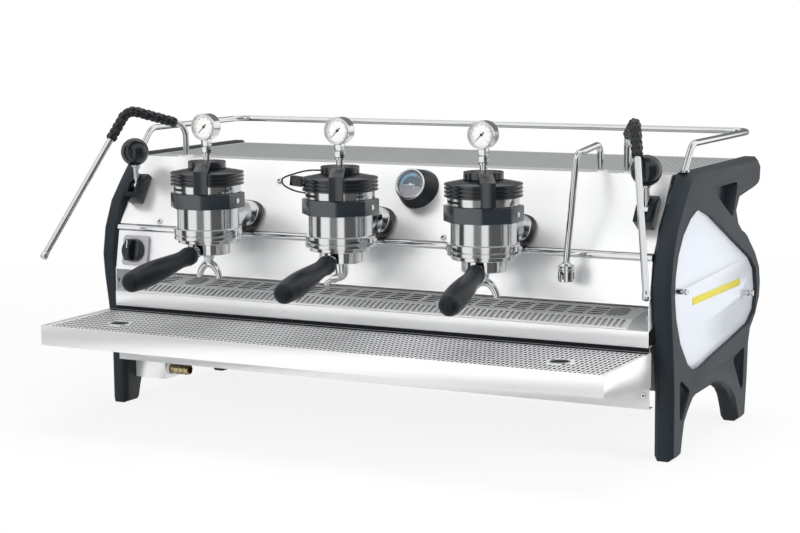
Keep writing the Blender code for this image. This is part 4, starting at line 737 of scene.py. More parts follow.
def finish(name, effects, colour, roughness, metallic=0.0, spread=0.1, mottle=0.08,
           mottle_scale=12.0, stretch=(900.0, 900.0, 900.0), depth=0.1, bump=0.1,
           wear=0.0, wear_colour=(0.4, 0.4, 0.4), wear_reach=0.001, dust=0.0,
           coat=0.0, line=0.0, shine=0.5):
    """A material with mottled colour, handled gloss, grain, edge wear and dust."""
    made = bpy.data.materials.new(name)
    made.use_nodes = True
    tree = made.node_tree
    shader = tree.nodes["Principled BSDF"].inputs
    shader["Metallic"].default_value = metallic
    shader["Specular IOR Level"].default_value = shine
    shader["Coat Weight"].default_value = coat
    shader["Coat Roughness"].default_value = COAT_ROUGHNESS
    painted = use_effect(tree, effects["mottle"], {
        "Colour": (*colour, 1.0), "Amount": mottle, "Scale": mottle_scale})["Colour"]
    grain = use_effect(tree, effects["grain"], {"Stretch": stretch, "Depth": depth})
    if line:
        share = math_node(tree, "MULTIPLY", grain["Line"], line)
        painted = mixed_colour(tree, share, painted, [c * LINE_SHADE for c in colour])
    if wear:
        worn = use_effect(tree, effects["wear"], {"Reach": wear_reach, "Amount": wear})
        painted = mixed_colour(tree, worn["Mask"], painted, wear_colour)
    if dust:
        settled = use_effect(tree, effects["dust"], {"Amount": dust})
        painted = mixed_colour(tree, settled["Mask"], painted, DUST_COLOUR)
    tree.links.new(painted, shader["Base Color"])
    handled = use_effect(tree, effects["gloss"], {"Roughness": roughness, "Spread": spread})
    tree.links.new(handled["Roughness"], shader["Roughness"])
    relief = node(tree, "ShaderNodeBump", {"Strength": bump, "Distance": RELIEF,
                                           "Height": grain["Height"]})
    tree.links.new(relief.outputs["Normal"], shader["Normal"])
    return made


FINISHES = {}


def make_finishes(scene):
    """Every material, by the name of its finish."""
    effects = make_effects()
    colour = scene.machine_colours
    reach = scene.machine_metal.wear_width
    across = (3.0, 1400.0, 1400.0)
    rings = (25.0, 25.0, 2600.0)
    FINISHES.update(
        polished=finish("Polished steel", effects, colour.polished, 0.30, 0.70, spread=0.05,
                        mottle=0.03, mottle_scale=4.0, stretch=across, bump=0.02, depth=0.3),
        satin=finish("Satin steel", effects, colour.satin, 0.42, 0.30, spread=0.08,
                     mottle=0.05, stretch=across, bump=0.04, depth=0.5, line=0.06),
        lining=finish("Bright steel", effects, colour.lining, 0.45, 0.10, spread=0.08,
                      mottle=0.04, stretch=across, bump=0.04, depth=0.5, line=0.05),
        mesh=finish("Pierced steel", effects, colour.mesh, 0.42, 0.30, spread=0.08,
                    mottle=0.10, stretch=across, bump=0.04, depth=0.5),
        brushed=finish("Brushed steel", effects, colour.brushed, 0.30, 0.55, spread=0.08,
                       mottle=0.05, stretch=across, bump=0.10, depth=0.6, line=0.08),
        chrome=finish("Chrome", effects, colour.chrome, 0.07, 1.0, spread=0.05, mottle=0.03,
                      bump=0.01),
        brew=finish("Turned steel", effects, colour.brew, 0.13, 1.0, spread=0.08,
                    stretch=rings, bump=0.12, depth=0.6, line=0.12),
        cast=finish("Cast black", effects, colour.cast, 0.46, spread=0.12, mottle=0.15,
                    shine=0.30, stretch=(1500.0, 1500.0, 1500.0), bump=0.25, depth=0.5, wear=0.35,
                    wear_colour=(0.16, 0.18, 0.19), wear_reach=reach, dust=0.05),
        collar=finish("Black enamel", effects, colour.cast, 0.22, spread=0.08,
                      shine=1.0, mottle=0.12, bump=0.08, depth=0.4, wear=0.4,
                      wear_colour=(0.20, 0.22, 0.24), wear_reach=reach),
        plastic=finish("Black plastic", effects, colour.plastic, 0.32, spread=0.12,
                       shine=0.22, mottle=0.20, bump=0.10, depth=0.4, wear=0.25,
                       wear_colour=(0.07, 0.075, 0.08), wear_reach=reach, dust=0.03),
        enamel=finish("Glossy enamel", effects, colour.plastic, 0.22, spread=0.10,
                      shine=0.9, mottle=0.15, bump=0.06, depth=0.4, wear=0.25,
                      wear_colour=(0.07, 0.075, 0.08), wear_reach=reach, dust=0.02),
        glossy=finish("Glossy black", effects, colour.plastic, 0.16, spread=0.10,
                      shine=0.4, mottle=0.2, bump=0.03, coat=0.25),
        rubber=finish("Black rubber", effects, colour.rubber, 0.28, spread=0.12,
                      shine=0.45, mottle=0.2, bump=0.18, depth=0.5, dust=0.03),
        plate=finish("Grey moulding", effects, colour.plate, 0.42, mottle=0.08,
                     bump=0.12, depth=0.5, wear=0.3, wear_colour=(0.5, 0.5, 0.52),
                     wear_reach=reach),
        insert=finish("Pale insert", effects, colour.insert, 0.34, mottle=0.03,
                      mottle_scale=3.0, bump=0.05, spread=0.05, coat=0.15),
        bar=finish("Yellow enamel", effects, colour.bar, 0.35, mottle=0.10, bump=0.05),
        dial=finish("Dial white", effects, colour.dial, 0.45, mottle=0.03, bump=0.02),
        boiler_dial=finish("Dial blue", effects, colour.boiler_dial, 0.35, mottle=0.2,
                           mottle_scale=60.0, bump=0.02),
        arc=finish("Dial arc", effects, colour.arc, 0.40, mottle=0.1, bump=0.02),
        ink=finish("Dial ink", effects, colour.ink, 0.45, mottle=0.1, bump=0.02),
        pale=finish("Pale pointer", effects, (0.82, 0.83, 0.85), 0.40, mottle=0.05,
                    bump=0.02),
        brass=finish("Brass", effects, colour.brass, 0.24, 1.0, mottle=0.15, stretch=rings,
                     bump=0.08, depth=0.5),
        copper=finish("Copper", effects, colour.copper, 0.32, 1.0, mottle=0.25,
                      mottle_scale=20.0, bump=0.08, depth=0.5),
        paint=finish("Grey paint", effects, colour.paint, 0.50, mottle=0.10, bump=0.15,
                     depth=0.5, wear=0.2, wear_colour=(0.6, 0.6, 0.6), wear_reach=reach),
        # A near-black finish that paints shade: hole walls and undersides of pierced sheets, screw
        # sockets, slots, spout mouths, drain wells and gaps
        dark=finish("Dark inside", effects, (0.016, 0.018, 0.020), 0.6, bump=0.05,
                    shine=0.1),
    )


# Putting pieces in the scene

# Width at a pierced sheet's border that keeps the outer finish
INNER_BORDER = 0.0005


def made_piece(name, shape, finish_name, body="machine", stands_for=None, smooth=40, inner=None):
    """A new object with the shape, its finish and the body it rides on.

    stands_for is the CAD node that the piece replaces. inner is
    the finish of a pierced sheet's hole walls and underside.
    """
    points, faces = shape
    mesh = bpy.data.meshes.new(name)
    mesh.from_pydata([tuple(p) for p in points], [], faces)
    mesh.validate()
    mesh.update()
    mesh.shade_smooth()
    mesh.set_sharp_from_angle(angle=math.radians(smooth))
    mesh.materials.append(FINISHES[finish_name])
    # A pierced sheet's hole walls and underside take the inner finish, a darker one that paints the
    # shade in its holes and beneath it
    if inner:
        mesh.materials.append(FINISHES[inner])
        low = [min(p[axis] for p in points) + INNER_BORDER for axis in (0, 1)]
        high = [max(p[axis] for p in points) - INNER_BORDER for axis in (0, 1)]
        for face in mesh.polygons:
            within = all(low[axis] < face.center[axis] < high[axis] for axis in (0, 1))
            if within and face.normal.z < 0.5:
                face.material_index = 1
    made = bpy.data.objects.new(name, mesh)
    bpy.context.scene.collection.objects.link(made)
    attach(made, body)
    if stands_for:
        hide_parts(stands_for)
    return made


def dress_node(name, finish_name, soft_edge=0.0):
    """Gives a CAD node its material and softly rounded edges."""
    made = frame["nodes"][name]
    made.data.materials.clear()
    made.data.materials.append(FINISHES[finish_name])
    if soft_edge:
        soften_edges(made, soft_edge)


WELD = 0.00002
SOFT_ANGLE = math.radians(34)


def soften_edges(made, width):
    """Welds the solid's faces and rounds its sharp edges, as modifiers."""
    weld = made.modifiers.new("Weld", "WELD")
    weld.merge_threshold = WELD
    edge = made.modifiers.new("Soft edges", "BEVEL")
    edge.width = width
    edge.segments = 2
    edge.limit_method = "ANGLE"
    edge.angle_limit = SOFT_ANGLE
    edge.harden_normals = True
    made.data.shade_smooth()


def reshaped(name, change):
    """The shape of a CAD node with its points moved; the node itself stays as it is."""
    made = frame["nodes"][name]
    points = [change(made.matrix_world @ vertex.co) for vertex in made.data.vertices]
    return points, [tuple(face.vertices) for face in made.data.polygons]


# Operators: the stage

CAMERA_EYE = (1.43114, -2.78145 + SHIFT, 0.67815)
CAMERA_RIGHT = (0.884823, 0.465849, -0.008525)
CAMERA_UP = (-0.057468, 0.127273, 0.990202)
CAMERA_BACK = (0.462369, -0.875664, 0.139385)
SENSOR = 36.0
CLIP_END = 60.0
# Each lamp's name, its place, what it is aimed at, its width and height, and its power's name
LAMPS = [("key", (-0.5, -3.6, 1.0), (0, 0, 0.25), (2.2, 0.9), "key_power"),
         ("right", (3.2, -0.4, 1.3), (0, 0, 0.25), (1.6, 1.4), "fill_power"),
         ("top", (0.2, 0.4, 2.8), (0, 0, 0.3), (2.4, 1.6), "top_power")]
# Distances from the machine between which the floor's glow grows to the whole
GLOW_NEAR = 0.7
GLOW_FAR = 2.2
FLOOR_ROUGHNESS = 0.8


def area_lamp(name, place, aim, size, power):
    data = bpy.data.lights.new(name, "AREA")
    data.shape = "RECTANGLE"
    data.size, data.size_y = size
    data.energy = power
    made = bpy.data.objects.new(name, data)
    made.location = place
    made.rotation_euler = (Vector(aim) - Vector(place)).to_track_quat("-Z", "Y").to_euler()
    made.visible_glossy = False
    bpy.context.scene.collection.objects.link(made)


def seen_rays(tree):
    """1 for rays that show the backdrop, and 1 for those that reach it off gloss."""
    path = node(tree, "ShaderNodeLightPath").outputs
    shown = math_node(tree, "MAXIMUM", path["Is Camera Ray"], path["Is Transmission Ray"])
    return shown, path["Is Glossy Ray"]


def walls_seen(tree, vector):
    return use_effect(tree, bpy.data.node_groups["Studio walls"], {"Vector": vector})["Value"]


class MACHINE_OT_stage(bpy.types.Operator):
    """Floor, backdrop, lamps and the camera"""
    bl_idname = "machine.stage"
    bl_label = "Stage"

    def execute(self, context):
        scene = context.scene
        studio = scene.machine_studio
        scene.world = self.world(studio)
        self.floor(scene, studio)
        for name, place, aim, size, power in LAMPS:
            area_lamp(name, place, aim, size, getattr(studio, power))
        scene.camera = self.camera(scene, studio)
        scene.view_settings.view_transform = "Standard"
        return {"FINISHED"}

    def world(self, studio):
        """White to the camera, the studio's walls off gloss, and soft light for the rest."""
        world = bpy.data.worlds.new("Studio")
        world.use_nodes = True
        tree = world.node_tree
        shown, glossy = seen_rays(tree)
        direction = node(tree, "ShaderNodeTexCoord").outputs["Generated"]
        off_gloss = math_node(tree, "MULTIPLY", glossy, walls_seen(tree, direction))
        rest = math_node(tree, "SUBTRACT", math_node(tree, "SUBTRACT", 1.0, shown), glossy)
        soft = math_node(tree, "MULTIPLY", rest, studio.ambient)
        strength = math_node(tree, "ADD", math_node(tree, "ADD", shown, off_gloss), soft)
        sky = tree.nodes["Background"].inputs
        sky["Color"].default_value = (1, 1, 1, 1)
        tree.links.new(strength, sky["Strength"])
        return world

    def floor(self, scene, studio):
        half = studio.floor_half
        mesh = bpy.data.meshes.new("floor")
        mesh.from_pydata([(-half, -half, 0), (half, -half, 0), (half, half, 0), (-half, half, 0)],
                         [], [(0, 1, 2, 3)])
        mesh.materials.append(self.floor_paint(scene.machine_colours.floor, studio.floor_glow))
        floor = bpy.data.objects.new("floor", mesh)
        scene.collection.objects.link(floor)

    def floor_paint(self, colour, near_glow):
        """A floor that the camera sees as white, apart from the machine's shadow."""
        paint = bpy.data.materials.new("Studio floor")
        paint.use_nodes = True
        tree = paint.node_tree
        shader = tree.nodes["Principled BSDF"]
        shader.inputs["Base Color"].default_value = (*colour, 1)
        shader.inputs["Roughness"].default_value = FLOOR_ROUGHNESS
        shader.inputs["Specular IOR Level"].default_value = 0.0
        shown, glossy = seen_rays(tree)
        geometry = node(tree, "ShaderNodeNewGeometry").outputs
        onward = node(tree, "ShaderNodeVectorMath", {0: geometry["Incoming"], 3: -1.0},
                      operation="SCALE").outputs["Vector"]
        walls = math_node(tree, "MULTIPLY", glossy, walls_seen(tree, onward))
        glow = node(tree, "ShaderNodeEmission", {
            "Color": (1, 1, 1, 1), "Strength": math_node(tree, "ADD", shown, walls)})
        away = node(tree, "ShaderNodeVectorMath", {0: geometry["Position"]},
                    operation="LENGTH").outputs["Value"]
        glow_share = node(tree, "ShaderNodeMapRange", {
            0: away, 1: GLOW_NEAR, 2: GLOW_FAR, 3: near_glow, 4: 1.0}).outputs[0]
        share = math_node(tree, "ADD", math_node(tree, "MULTIPLY", shown, glow_share),
                          glossy, clamp=True)
        mixed = node(tree, "ShaderNodeMixShader", {0: share, 1: shader.outputs[0],
                                                   2: glow.outputs[0]})
        tree.links.new(mixed.outputs[0], tree.nodes["Material Output"].inputs["Surface"])
        return paint

    def camera(self, scene, studio):
        data = bpy.data.cameras.new("camera")
        data.lens = studio.lens
        data.sensor_width = SENSOR
        data.clip_end = CLIP_END
        camera = bpy.data.objects.new("camera", data)
        axes = Matrix((CAMERA_RIGHT, CAMERA_UP, CAMERA_BACK)).transposed().to_4x4()
        camera.matrix_world = Matrix.Translation(CAMERA_EYE) @ axes
        scene.collection.objects.link(camera)
        return camera


# Operators: the casing

DRESSED = [("cast", ("side_panel_left", "side_panel_right")),
           ("brushed", ("deck_frame", "tray_pan", "drain_box", "rear_panel", "front_skirt")),
           ("insert", ("side_insert_left", "side_insert_right")),
           ("paint", ("base_pan", "control_box")),
           ("copper", ("steam_boiler", "coffee_boilers")),
           ("plastic", ("lever_housing_left", "lever_housing_right"))]
# The upper panel's rings are as low as the photograph shows them, and the openings for the
# necks are smaller and lower than in the solids
RING_TOP = 0.4160
OPENING_REACH = 0.034
OPENING_LOW = 0.3073
OPENING_SHARE = 0.68
# The lower panel's edges stand higher in the photograph than in the solids
EDGE_LIFT = Vector((0, 0.0012, 0.0065))
SEAM_LIFT = Vector((0, 0.0006, 0.0032))
EDGE_BELOW = 0.24
SIDE_SHEET_X = 0.4688
SIDE_SHEET = [(-0.0550, 0.2500), (0.0250, 0.2500), (0.0250, 0.1500), (0.2740, 0.1500),
              (0.2740, 0.4000), (0.0050, 0.4000), (-0.0550, 0.3100)]
THIN_HALF = 0.0005
# Places of the round screws: x and height on the polished panel, y and height on the cheeks
PANEL_SCREWS = [(-0.3924, 0.3111), (-0.1890, 0.3822), (0.1299, 0.3112)]
CHEEK_FACE = 0.4684
CHEEK_SCREW = (-0.0804, 0.2129)
SKIRT_SCREW = (0.4615, 0.100)
SKIRT_FACE = -0.1911


def thin_sheet(outline, x):
    """A sheet 1 mm thick across X, from its (y, z) outline."""
    return moved(extruded(outline, x - THIN_HALF, x + THIN_HALF), ALONG_X)


def upper_panel_point(point, necks):
    """A point of the upper panel, with low rings and smaller openings for the necks."""
    moved_to = Vector((point.x, point.y, min(point.z, RING_TOP)))
    for neck_x in necks:
        near = math.hypot(point.x - neck_x, point.z - NECK_Z) < OPENING_REACH
        if near and point.z > OPENING_LOW:
            up = panel_up()
            moved_to += up * (OPENING_SHARE - 1) * (point.z - OPENING_LOW) / up.z
    return moved_to


class MACHINE_OT_casing(bpy.types.Operator):
    """Finishes of the panels, the deck, the trays and the pieces inside"""
    bl_idname = "machine.casing"
    bl_label = "Casing"

    def execute(self, context):
        metal = context.scene.machine_metal
        edges = {"cast": metal.cast_edge, "copper": 0.0}
        for finish_name, names in DRESSED:
            for name in names:
                dress_node(name, finish_name, edges.get(finish_name, metal.soft_edge))
        self.panels(metal)
        made_piece("side_sheets", join_shapes([thin_sheet(SIDE_SHEET, side * SIDE_SHEET_X)
                                               for _, side in SIDES]), "satin")
        self.trim()
        self.screws(metal)
        return {"FINISHED"}

    def panels(self, metal):
        necks = [group_axis(name).x for name in GROUPS]
        upper = reshaped("front_panel_upper", lambda p: upper_panel_point(p, necks))
        lower = reshaped("front_panel_lower", lambda p: p + (
            EDGE_LIFT if p.z < EDGE_BELOW else SEAM_LIFT))
        for name, shape, finish_name in (("upper", upper, "polished"), ("lower", lower, "brushed")):
            made = made_piece(name + "_panel_sheet", shape, finish_name,
                              stands_for="front_panel_" + name)
            soften_edges(made, metal.soft_edge)

    def trim(self):
        low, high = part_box("front_trim")
        middle = middle_of("front_trim")
        path = [Vector((low[0], middle.y, middle.z)), Vector((high[0], middle.y, middle.z))]
        made_piece("front_trim_strip", tube(path, (high[2] - low[2]) / 2, 32), "chrome",
                   stands_for="front_trim")

    def screws(self, metal):
        """Round heads with a hexagon socket, where the panels are held."""
        radius = metal.screw_radius
        dome = softened([(0, radius * 0.6), (radius, radius * 0.6), (radius, 0), (0, 0)],
                        radius * 0.5)
        socket = turned([(0, radius * 0.62), (radius * 0.45, radius * 0.62),
                         (radius * 0.45, radius * 0.3), (0, radius * 0.3)], 6)
        up = panel_up()
        skirt_x, skirt_z = SKIRT_SCREW
        spots = [(world_at(side * skirt_x, SKIRT_FACE, skirt_z), Vector((0, -1, 0)))
                 for _, side in SIDES]
        spots += [(Vector((side * CHEEK_FACE, *CHEEK_SCREW)), Vector((-side, 0, 0)))
                  for _, side in SIDES]
        spots += [(panel_place(x, z), Vector((0, -up.z, up.y))) for x, z in PANEL_SCREWS]
        heads, sockets = [], []
        for place, normal in spots:
            turn = normal.to_track_quat("Z", "Y").to_matrix().to_4x4()
            matrix = Matrix.Translation(place) @ turn
            heads.append(moved(turned(dome, 24), matrix))
            sockets.append(moved(socket, matrix))
        made_piece("panel_screws", join_shapes(heads), "chrome")
        # The hexagon sockets are dark solids that paint the shade inside the recessed sockets
        made_piece("screw_sockets", join_shapes(sockets), "dark")


# Operators: sheets with slots and holes

SHEET = 0.0016
# The deck plate in section, from its front edge over the bend to its rear edge: y and z
DECK_CORNERS = ((-0.195, 0.194), (-0.167, 0.204), (-0.099, 0.211))
DECK_LIFT = 0.0022
DECK_ROWS = 4
DECK_ROW_PITCH = 0.0108
DECK_SLOT_WIDTH = 0.0052
DECK_MARGIN = 0.006
DECK_REAR_GAP = 0.004
STRIP_SLOT = 0.0240
STRIP_SLOT_WIDTH = 0.0050
STRIP_MARGIN = 0.004
STRIP_GAP = 0.002
# Strainers of the deck, as the photograph places them: x of each, length and width
STRAINERS = (-0.348, 0.400)
OBLONG = (0.046, 0.028)
RIM_RADIUS = 0.0012
# The sheets about the deck's recess in section, and the seam and the lip at its front
ROOF = [(-0.1750, 0.2340), (-0.1000, 0.2410), (-0.1000, 0.2100), (-0.0995, 0.2100),
        (-0.0995, 0.2427), (-0.1750, 0.2355)]
CHEEK = [(-0.1945, 0.1950), (-0.0995, 0.2098), (-0.0995, 0.2427), (-0.1750, 0.2375),
         (-0.1940, 0.2345)]
CHEEK_INSET = 0.0006
SEAM_SIZE = (0.0006, 0.0240)
SEAM_PLACE = (SKIRT_FACE - 0.0004, 0.1613)
LIP_SIZE = (0.0012, 0.0080)
LIP_OUT = (0.0007, 0.0003)
SHADE = 0.0004
# The grate's border, its two drain holes and its ribs
GRATE_BORDER = 0.003
GRATE_MARGIN = 0.004
GRATE_SLOT_SHARES = (0.78, 0.52)
GRATE_HOLE_X = 0.380
GRATE_HOLE_Y = -0.310
GRATE_HOLE_CLEAR = 0.020
GRATE_HOLE_RING = (0.0145, 0.0013)
GRATE_WELL = [(0, 0.0006), (0.014, 0.0006), (0.014, -0.002), (0, -0.002)]
RIBS = 4
RIB = (0.003, 0.018)
RIB_SHORT = 0.008
RIB_DROP = 0.012
CUP_MARGIN = 0.006
CUP_FRONT_MARGIN = 0.010
CUP_HOLE_SHARE = 0.62


def cell_borders(low, high, margins, pitch):
    """Borders of whole cells between a sheet's margins, with the sheet's own ends outside them."""
    start, end = low + margins[0], high - margins[1]
    count = int((end - start) / pitch)
    spare = (end - start - count * pitch) / 2
    inner = [start + spare + i * pitch for i in range(count + 1)]
    if spare <= 1e-6:
        inner = inner[1:-1]
    return [low] + inner + [high]


def inner_cell(columns, rows, i, j):
    """The middle of a cell, or None for a cell on the sheet's border."""
    if i in (0, len(columns) - 2) or j in (0, len(rows) - 2):
        return None
    return (columns[i] + columns[i + 1]) / 2, (rows[j] + rows[j + 1]) / 2


class MACHINE_OT_sheets(bpy.types.Operator):
    """The slotted deck plate, the drip tray's grate and the pierced cup tray"""
    bl_idname = "machine.sheets"
    bl_label = "Slotted sheets"

    def execute(self, context):
        sizes = context.scene.machine_sheets
        self.deck(sizes)
        self.recess()
        self.lip()
        self.tray_shade()
        self.grate(sizes)
        self.cup_tray(sizes)
        return {"FINISHED"}

    def deck(self, sizes):
        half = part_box("deck_plate")[1][0]
        front, bend, rear = [Vector((0, y + SHIFT, z + DECK_LIFT)) for y, z in DECK_CORNERS]
        depth = (rear - bend).length - DECK_REAR_GAP
        lean = math.atan2(rear.z - bend.z, rear.y - bend.y)
        on_plate = Matrix.Translation(bend) @ Matrix.Rotation(lean, 4, "X")
        plate = moved(self.deck_plate(sizes, half, depth), on_plate)
        # The deck sheet's slot walls and underside take the dark finish as painted shade
        made_piece("deck_sheet", join_shapes([self.deck_strip(sizes, half, front, bend), plate]),
                   "lining", stands_for="deck_plate", smooth=20, inner="dark")
        rims, wells = [], []
        length, width = OBLONG
        for spot in STRAINERS:
            ring = [Vector((spot + x, depth / 2 + y, SHEET * 0.4))
                    for x, y in slot_ring(0, 0, length, width, False, 8)]
            rims.append(tube([on_plate @ p for p in ring], RIM_RADIUS, 10, closed=True))
            outline = [(p.x, p.y) for p in ring]
            wells.append(moved(extruded(outline, -SHEET * 0.2, SHEET * 0.6), on_plate))
        made_piece("deck_hole_rims", join_shapes(rims), "chrome")
        made_piece("deck_strainers", join_shapes(wells), "mesh")

    def deck_strip(self, sizes, half, front, bend):
        """The plate's front strip, which slopes up to the bend and has one row of slots."""
        depth = (bend - front).length
        columns = cell_borders(-half, half, (STRIP_MARGIN, STRIP_MARGIN), sizes.strip_pitch)
        middle = (depth + STRIP_GAP) / 2

        def hole(i, _):
            if i in (0, len(columns) - 2):
                return None
            x = (columns[i] + columns[i + 1]) / 2
            return slot_ring(x, middle, STRIP_SLOT, STRIP_SLOT_WIDTH, False)

        lean = math.atan2(bend.z - front.z, bend.y - front.y)
        return moved(punched(columns, [STRIP_GAP, depth], hole, SHEET),
                     Matrix.Translation(front) @ Matrix.Rotation(lean, 4, "X"))

    def deck_plate(self, sizes, half, depth):
        """The plate behind the bend, with rows of slots and none beside the strainers."""
        columns = cell_borders(-half, half, (DECK_MARGIN, DECK_MARGIN), sizes.deck_cell)
        spare = (depth - DECK_ROWS * DECK_ROW_PITCH) / 2
        rows = ([0.0, spare]
                + [spare + (i + 1) * DECK_ROW_PITCH for i in range(DECK_ROWS)] + [depth])

        def hole(i, j):
            middle = inner_cell(columns, rows, i, j)
            if not middle:
                return None
            clear = (sizes.deck_slot + OBLONG[1]) / 2
            if any(abs(middle[0] - spot) < clear for spot in STRAINERS):
                return None
            return slot_ring(*middle, sizes.deck_slot, DECK_SLOT_WIDTH, True)

        return punched(columns, rows, hole, SHEET)

    def recess(self):
        """The sheets over the deck's recess and at both its ends."""
        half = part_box("deck_frame")[1][0]
        roof = extruded([(y + SHIFT, z) for y, z in ROOF], -half, half)
        made_piece("recess_lining", moved(roof, ALONG_X), "lining")
        cheek = [(y + SHIFT, z) for y, z in CHEEK]
        made_piece("recess_cheeks", join_shapes([thin_sheet(cheek, side * (half - CHEEK_INSET))
                                                 for _, side in SIDES]), "satin")

    def lip(self):
        """The deck's folded front lip, and a dark block under it that paints the shade in the seam.
        """
        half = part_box("deck_frame")[1][0]
        made_piece("lip_seam", moved(block(2 * half, *SEAM_SIZE),
                                     Matrix.Translation(world_at(0, *SEAM_PLACE))), "dark")
        front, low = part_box("deck_frame")[0][1:]
        out, up = LIP_OUT
        lip = moved(bevelled(block(2 * half, *LIP_SIZE), 0.0004), at(0, front + out, low + up))
        made_piece("deck_lip", lip, "brushed")

    def tray_shade(self):
        """A dark sheet that paints the shade in the gap between the grate's rear edge and the
        tray's rim.
        """
        pan_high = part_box("tray_pan")[1][2]
        low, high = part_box("tray_grate")
        depth = pan_high - high[2]
        shade = moved(block(high[0] - low[0], SHADE, depth),
                      at(0, high[1] - SHADE / 2, high[2] + depth / 2))
        made_piece("tray_shade", shade, "dark", frame["nodes"]["tray_pan"]["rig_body"])

    def grate(self, sizes):
        low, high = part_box("tray_grate")
        top = high[2]
        columns = cell_borders(low[0], high[0], (GRATE_MARGIN, GRATE_MARGIN), sizes.grate_pitch)
        depth = high[1] - low[1] - 2 * GRATE_BORDER
        count = round(depth / sizes.grate_row)
        rows = [low[1] + GRATE_BORDER + depth * k / count for k in range(count + 1)]
        rows = [low[1]] + rows + [high[1]]
        hole_y = GRATE_HOLE_Y + SHIFT

        def hole(i, j):
            middle = inner_cell(columns, rows, i, j)
            if not middle:
                return None
            x, y = middle
            if math.hypot(abs(x) - GRATE_HOLE_X, y - hole_y) < GRATE_HOLE_CLEAR:
                return None
            length, width = GRATE_SLOT_SHARES
            return slot_ring(x, y, sizes.grate_row * length, sizes.grate_pitch * width, False)

        sheet = moved(punched(columns, rows, hole, SHEET), at(0, 0, top))
        # The grate's slot walls and underside take the dark finish as painted shade
        made_piece("grate_sheet", sheet, "satin", "grate", stands_for="tray_grate", smooth=20,
                   inner="dark")
        rims, wells = [], []
        radius, rim = GRATE_HOLE_RING
        for _, side in SIDES:
            ring = [Vector((side * GRATE_HOLE_X + radius * math.cos(a),
                            hole_y + radius * math.sin(a), top))
                    for a in [2 * math.pi * k / 40 for k in range(40)]]
            rims.append(tube(ring, rim, 10, closed=True))
            wells.append(moved(turned(GRATE_WELL, 40), at(side * GRATE_HOLE_X, hole_y, top)))
        made_piece("grate_hole_rims", join_shapes(rims), "chrome", "grate")
        # Dark discs down in the drain holes paint the shade inside them
        made_piece("grate_hole_wells", join_shapes(wells), "dark", "grate")
        pitch = (high[0] - low[0]) / (RIBS + 1)
        rib = block(RIB[0], high[1] - low[1] - RIB_SHORT, RIB[1])
        ribs = [moved(rib, at((index - (RIBS - 1) / 2) * pitch, (low[1] + high[1]) / 2,
                              top - RIB_DROP)) for index in range(RIBS)]
        made_piece("grate_ribs", join_shapes(ribs), "brushed", "grate")

    def cup_tray(self, sizes):
        low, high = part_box("cup_tray")
        wide = sizes.hole_pitch * CUP_HOLE_SHARE
        columns = cell_borders(low[0], high[0], (CUP_MARGIN, CUP_MARGIN), sizes.hole_pitch)
        rows = cell_borders(low[1], high[1], (CUP_MARGIN, CUP_FRONT_MARGIN), sizes.hole_pitch)

        def hole(i, j):
            middle = inner_cell(columns, rows, i, j)
            return slot_ring(*middle, wide, wide, True, 3) if middle else None

        sheet = moved(punched(columns, rows, hole, SHEET), at(0, 0, high[2]))
        rim = moved(block(high[0] - low[0], SHEET, high[2] - low[2] - SHEET),
                    at(0, high[1] - SHEET / 2, (low[2] + high[2] - SHEET) / 2))
        # The cup tray's hole walls and underside take the dark finish as painted shade
        made_piece("cup_tray_sheet", join_shapes([sheet, rim]), "mesh", stands_for="cup_tray",
                   smooth=20, inner="dark")


# Operators: the groups

BAND_TOP = 0.3878
BAND_LOW = 0.3758
SHOULDER = 0.320
FLANGE_LOW = 0.303
BODY_LOW = 0.297
GROOVE_DEPTH = 0.0012
GROOVE_RISE = (0.006, 0.0075)
SOCKET_TOP = 0.3165
SOCKET_R = 0.0365
BAYONET = (0.0425, 0.302, 0.3095)
LUG = (0.010, 0.014, 0.012)
LUG_PLACE = (0.0535, 0, 0.3115)
NECK_Z = 0.3328
# The photograph shows each neck this high, in a lower opening than the solids have
NECK_SEEN = 0.3265
NECK_START = 0.024
NECK_LENGTH = 0.103
NECK_RADIUS = 0.0235
NECK_FLARE = 0.003
NECK_STEPS = 12
# The gasket and the flange at the panel: half width, half height, and heights off the panel
GASKET = (0.0405, 0.0290)
GASKET_Z = 0.3250
GASKET_THICK = (0.0, 0.007)
FLANGE = (0.0345, 0.0240)
FLANGE_Z = 0.3268
FLANGE_THICK = (0.0055, 0.0110)
# The slot in the band under the cap, a dark bar that paints the shade in it: its heights, and its
# ends in degrees
BAND_SLOT = (0.3800, 0.3836, 175, 255)
COLLAR = (0.352, 0.3755)
COLLAR_SCREW = [(0, 0.0022), (0.0042, 0.0022), (0.0042, 0)]
SCREW_SUNK = 0.0005
CASTING_EDGE = 0.0009
CAP = (0.3881, 0.4076)
HUB = (0.4129, 0.4244)
HUB_GAP = 0.0003
BOSS_R = 0.0085
DISC_R = 0.031
FIN_DEPTH = 0.005
# The paddle's strap stands out to these distances from the axis, and hangs this low
STRAP_IN = 0.0605
STRAP_OUT = 0.068
STRAP_LOW = 0.3775
STRAP_SHOULDER = 0.4134
PADDLE_LUG = (0.012, 0.009, 0.004)
PADDLE_LUG_BACK = 0.006
PADDLE_LUG_SHARE = 0.68
# Turns in the photograph, in degrees about the group axes
PADDLE_TURNS = {"left": 24, "middle": 24, "right": 31}
HANDLE_TURNS = {"left": -4, "middle": 4, "right": 11}


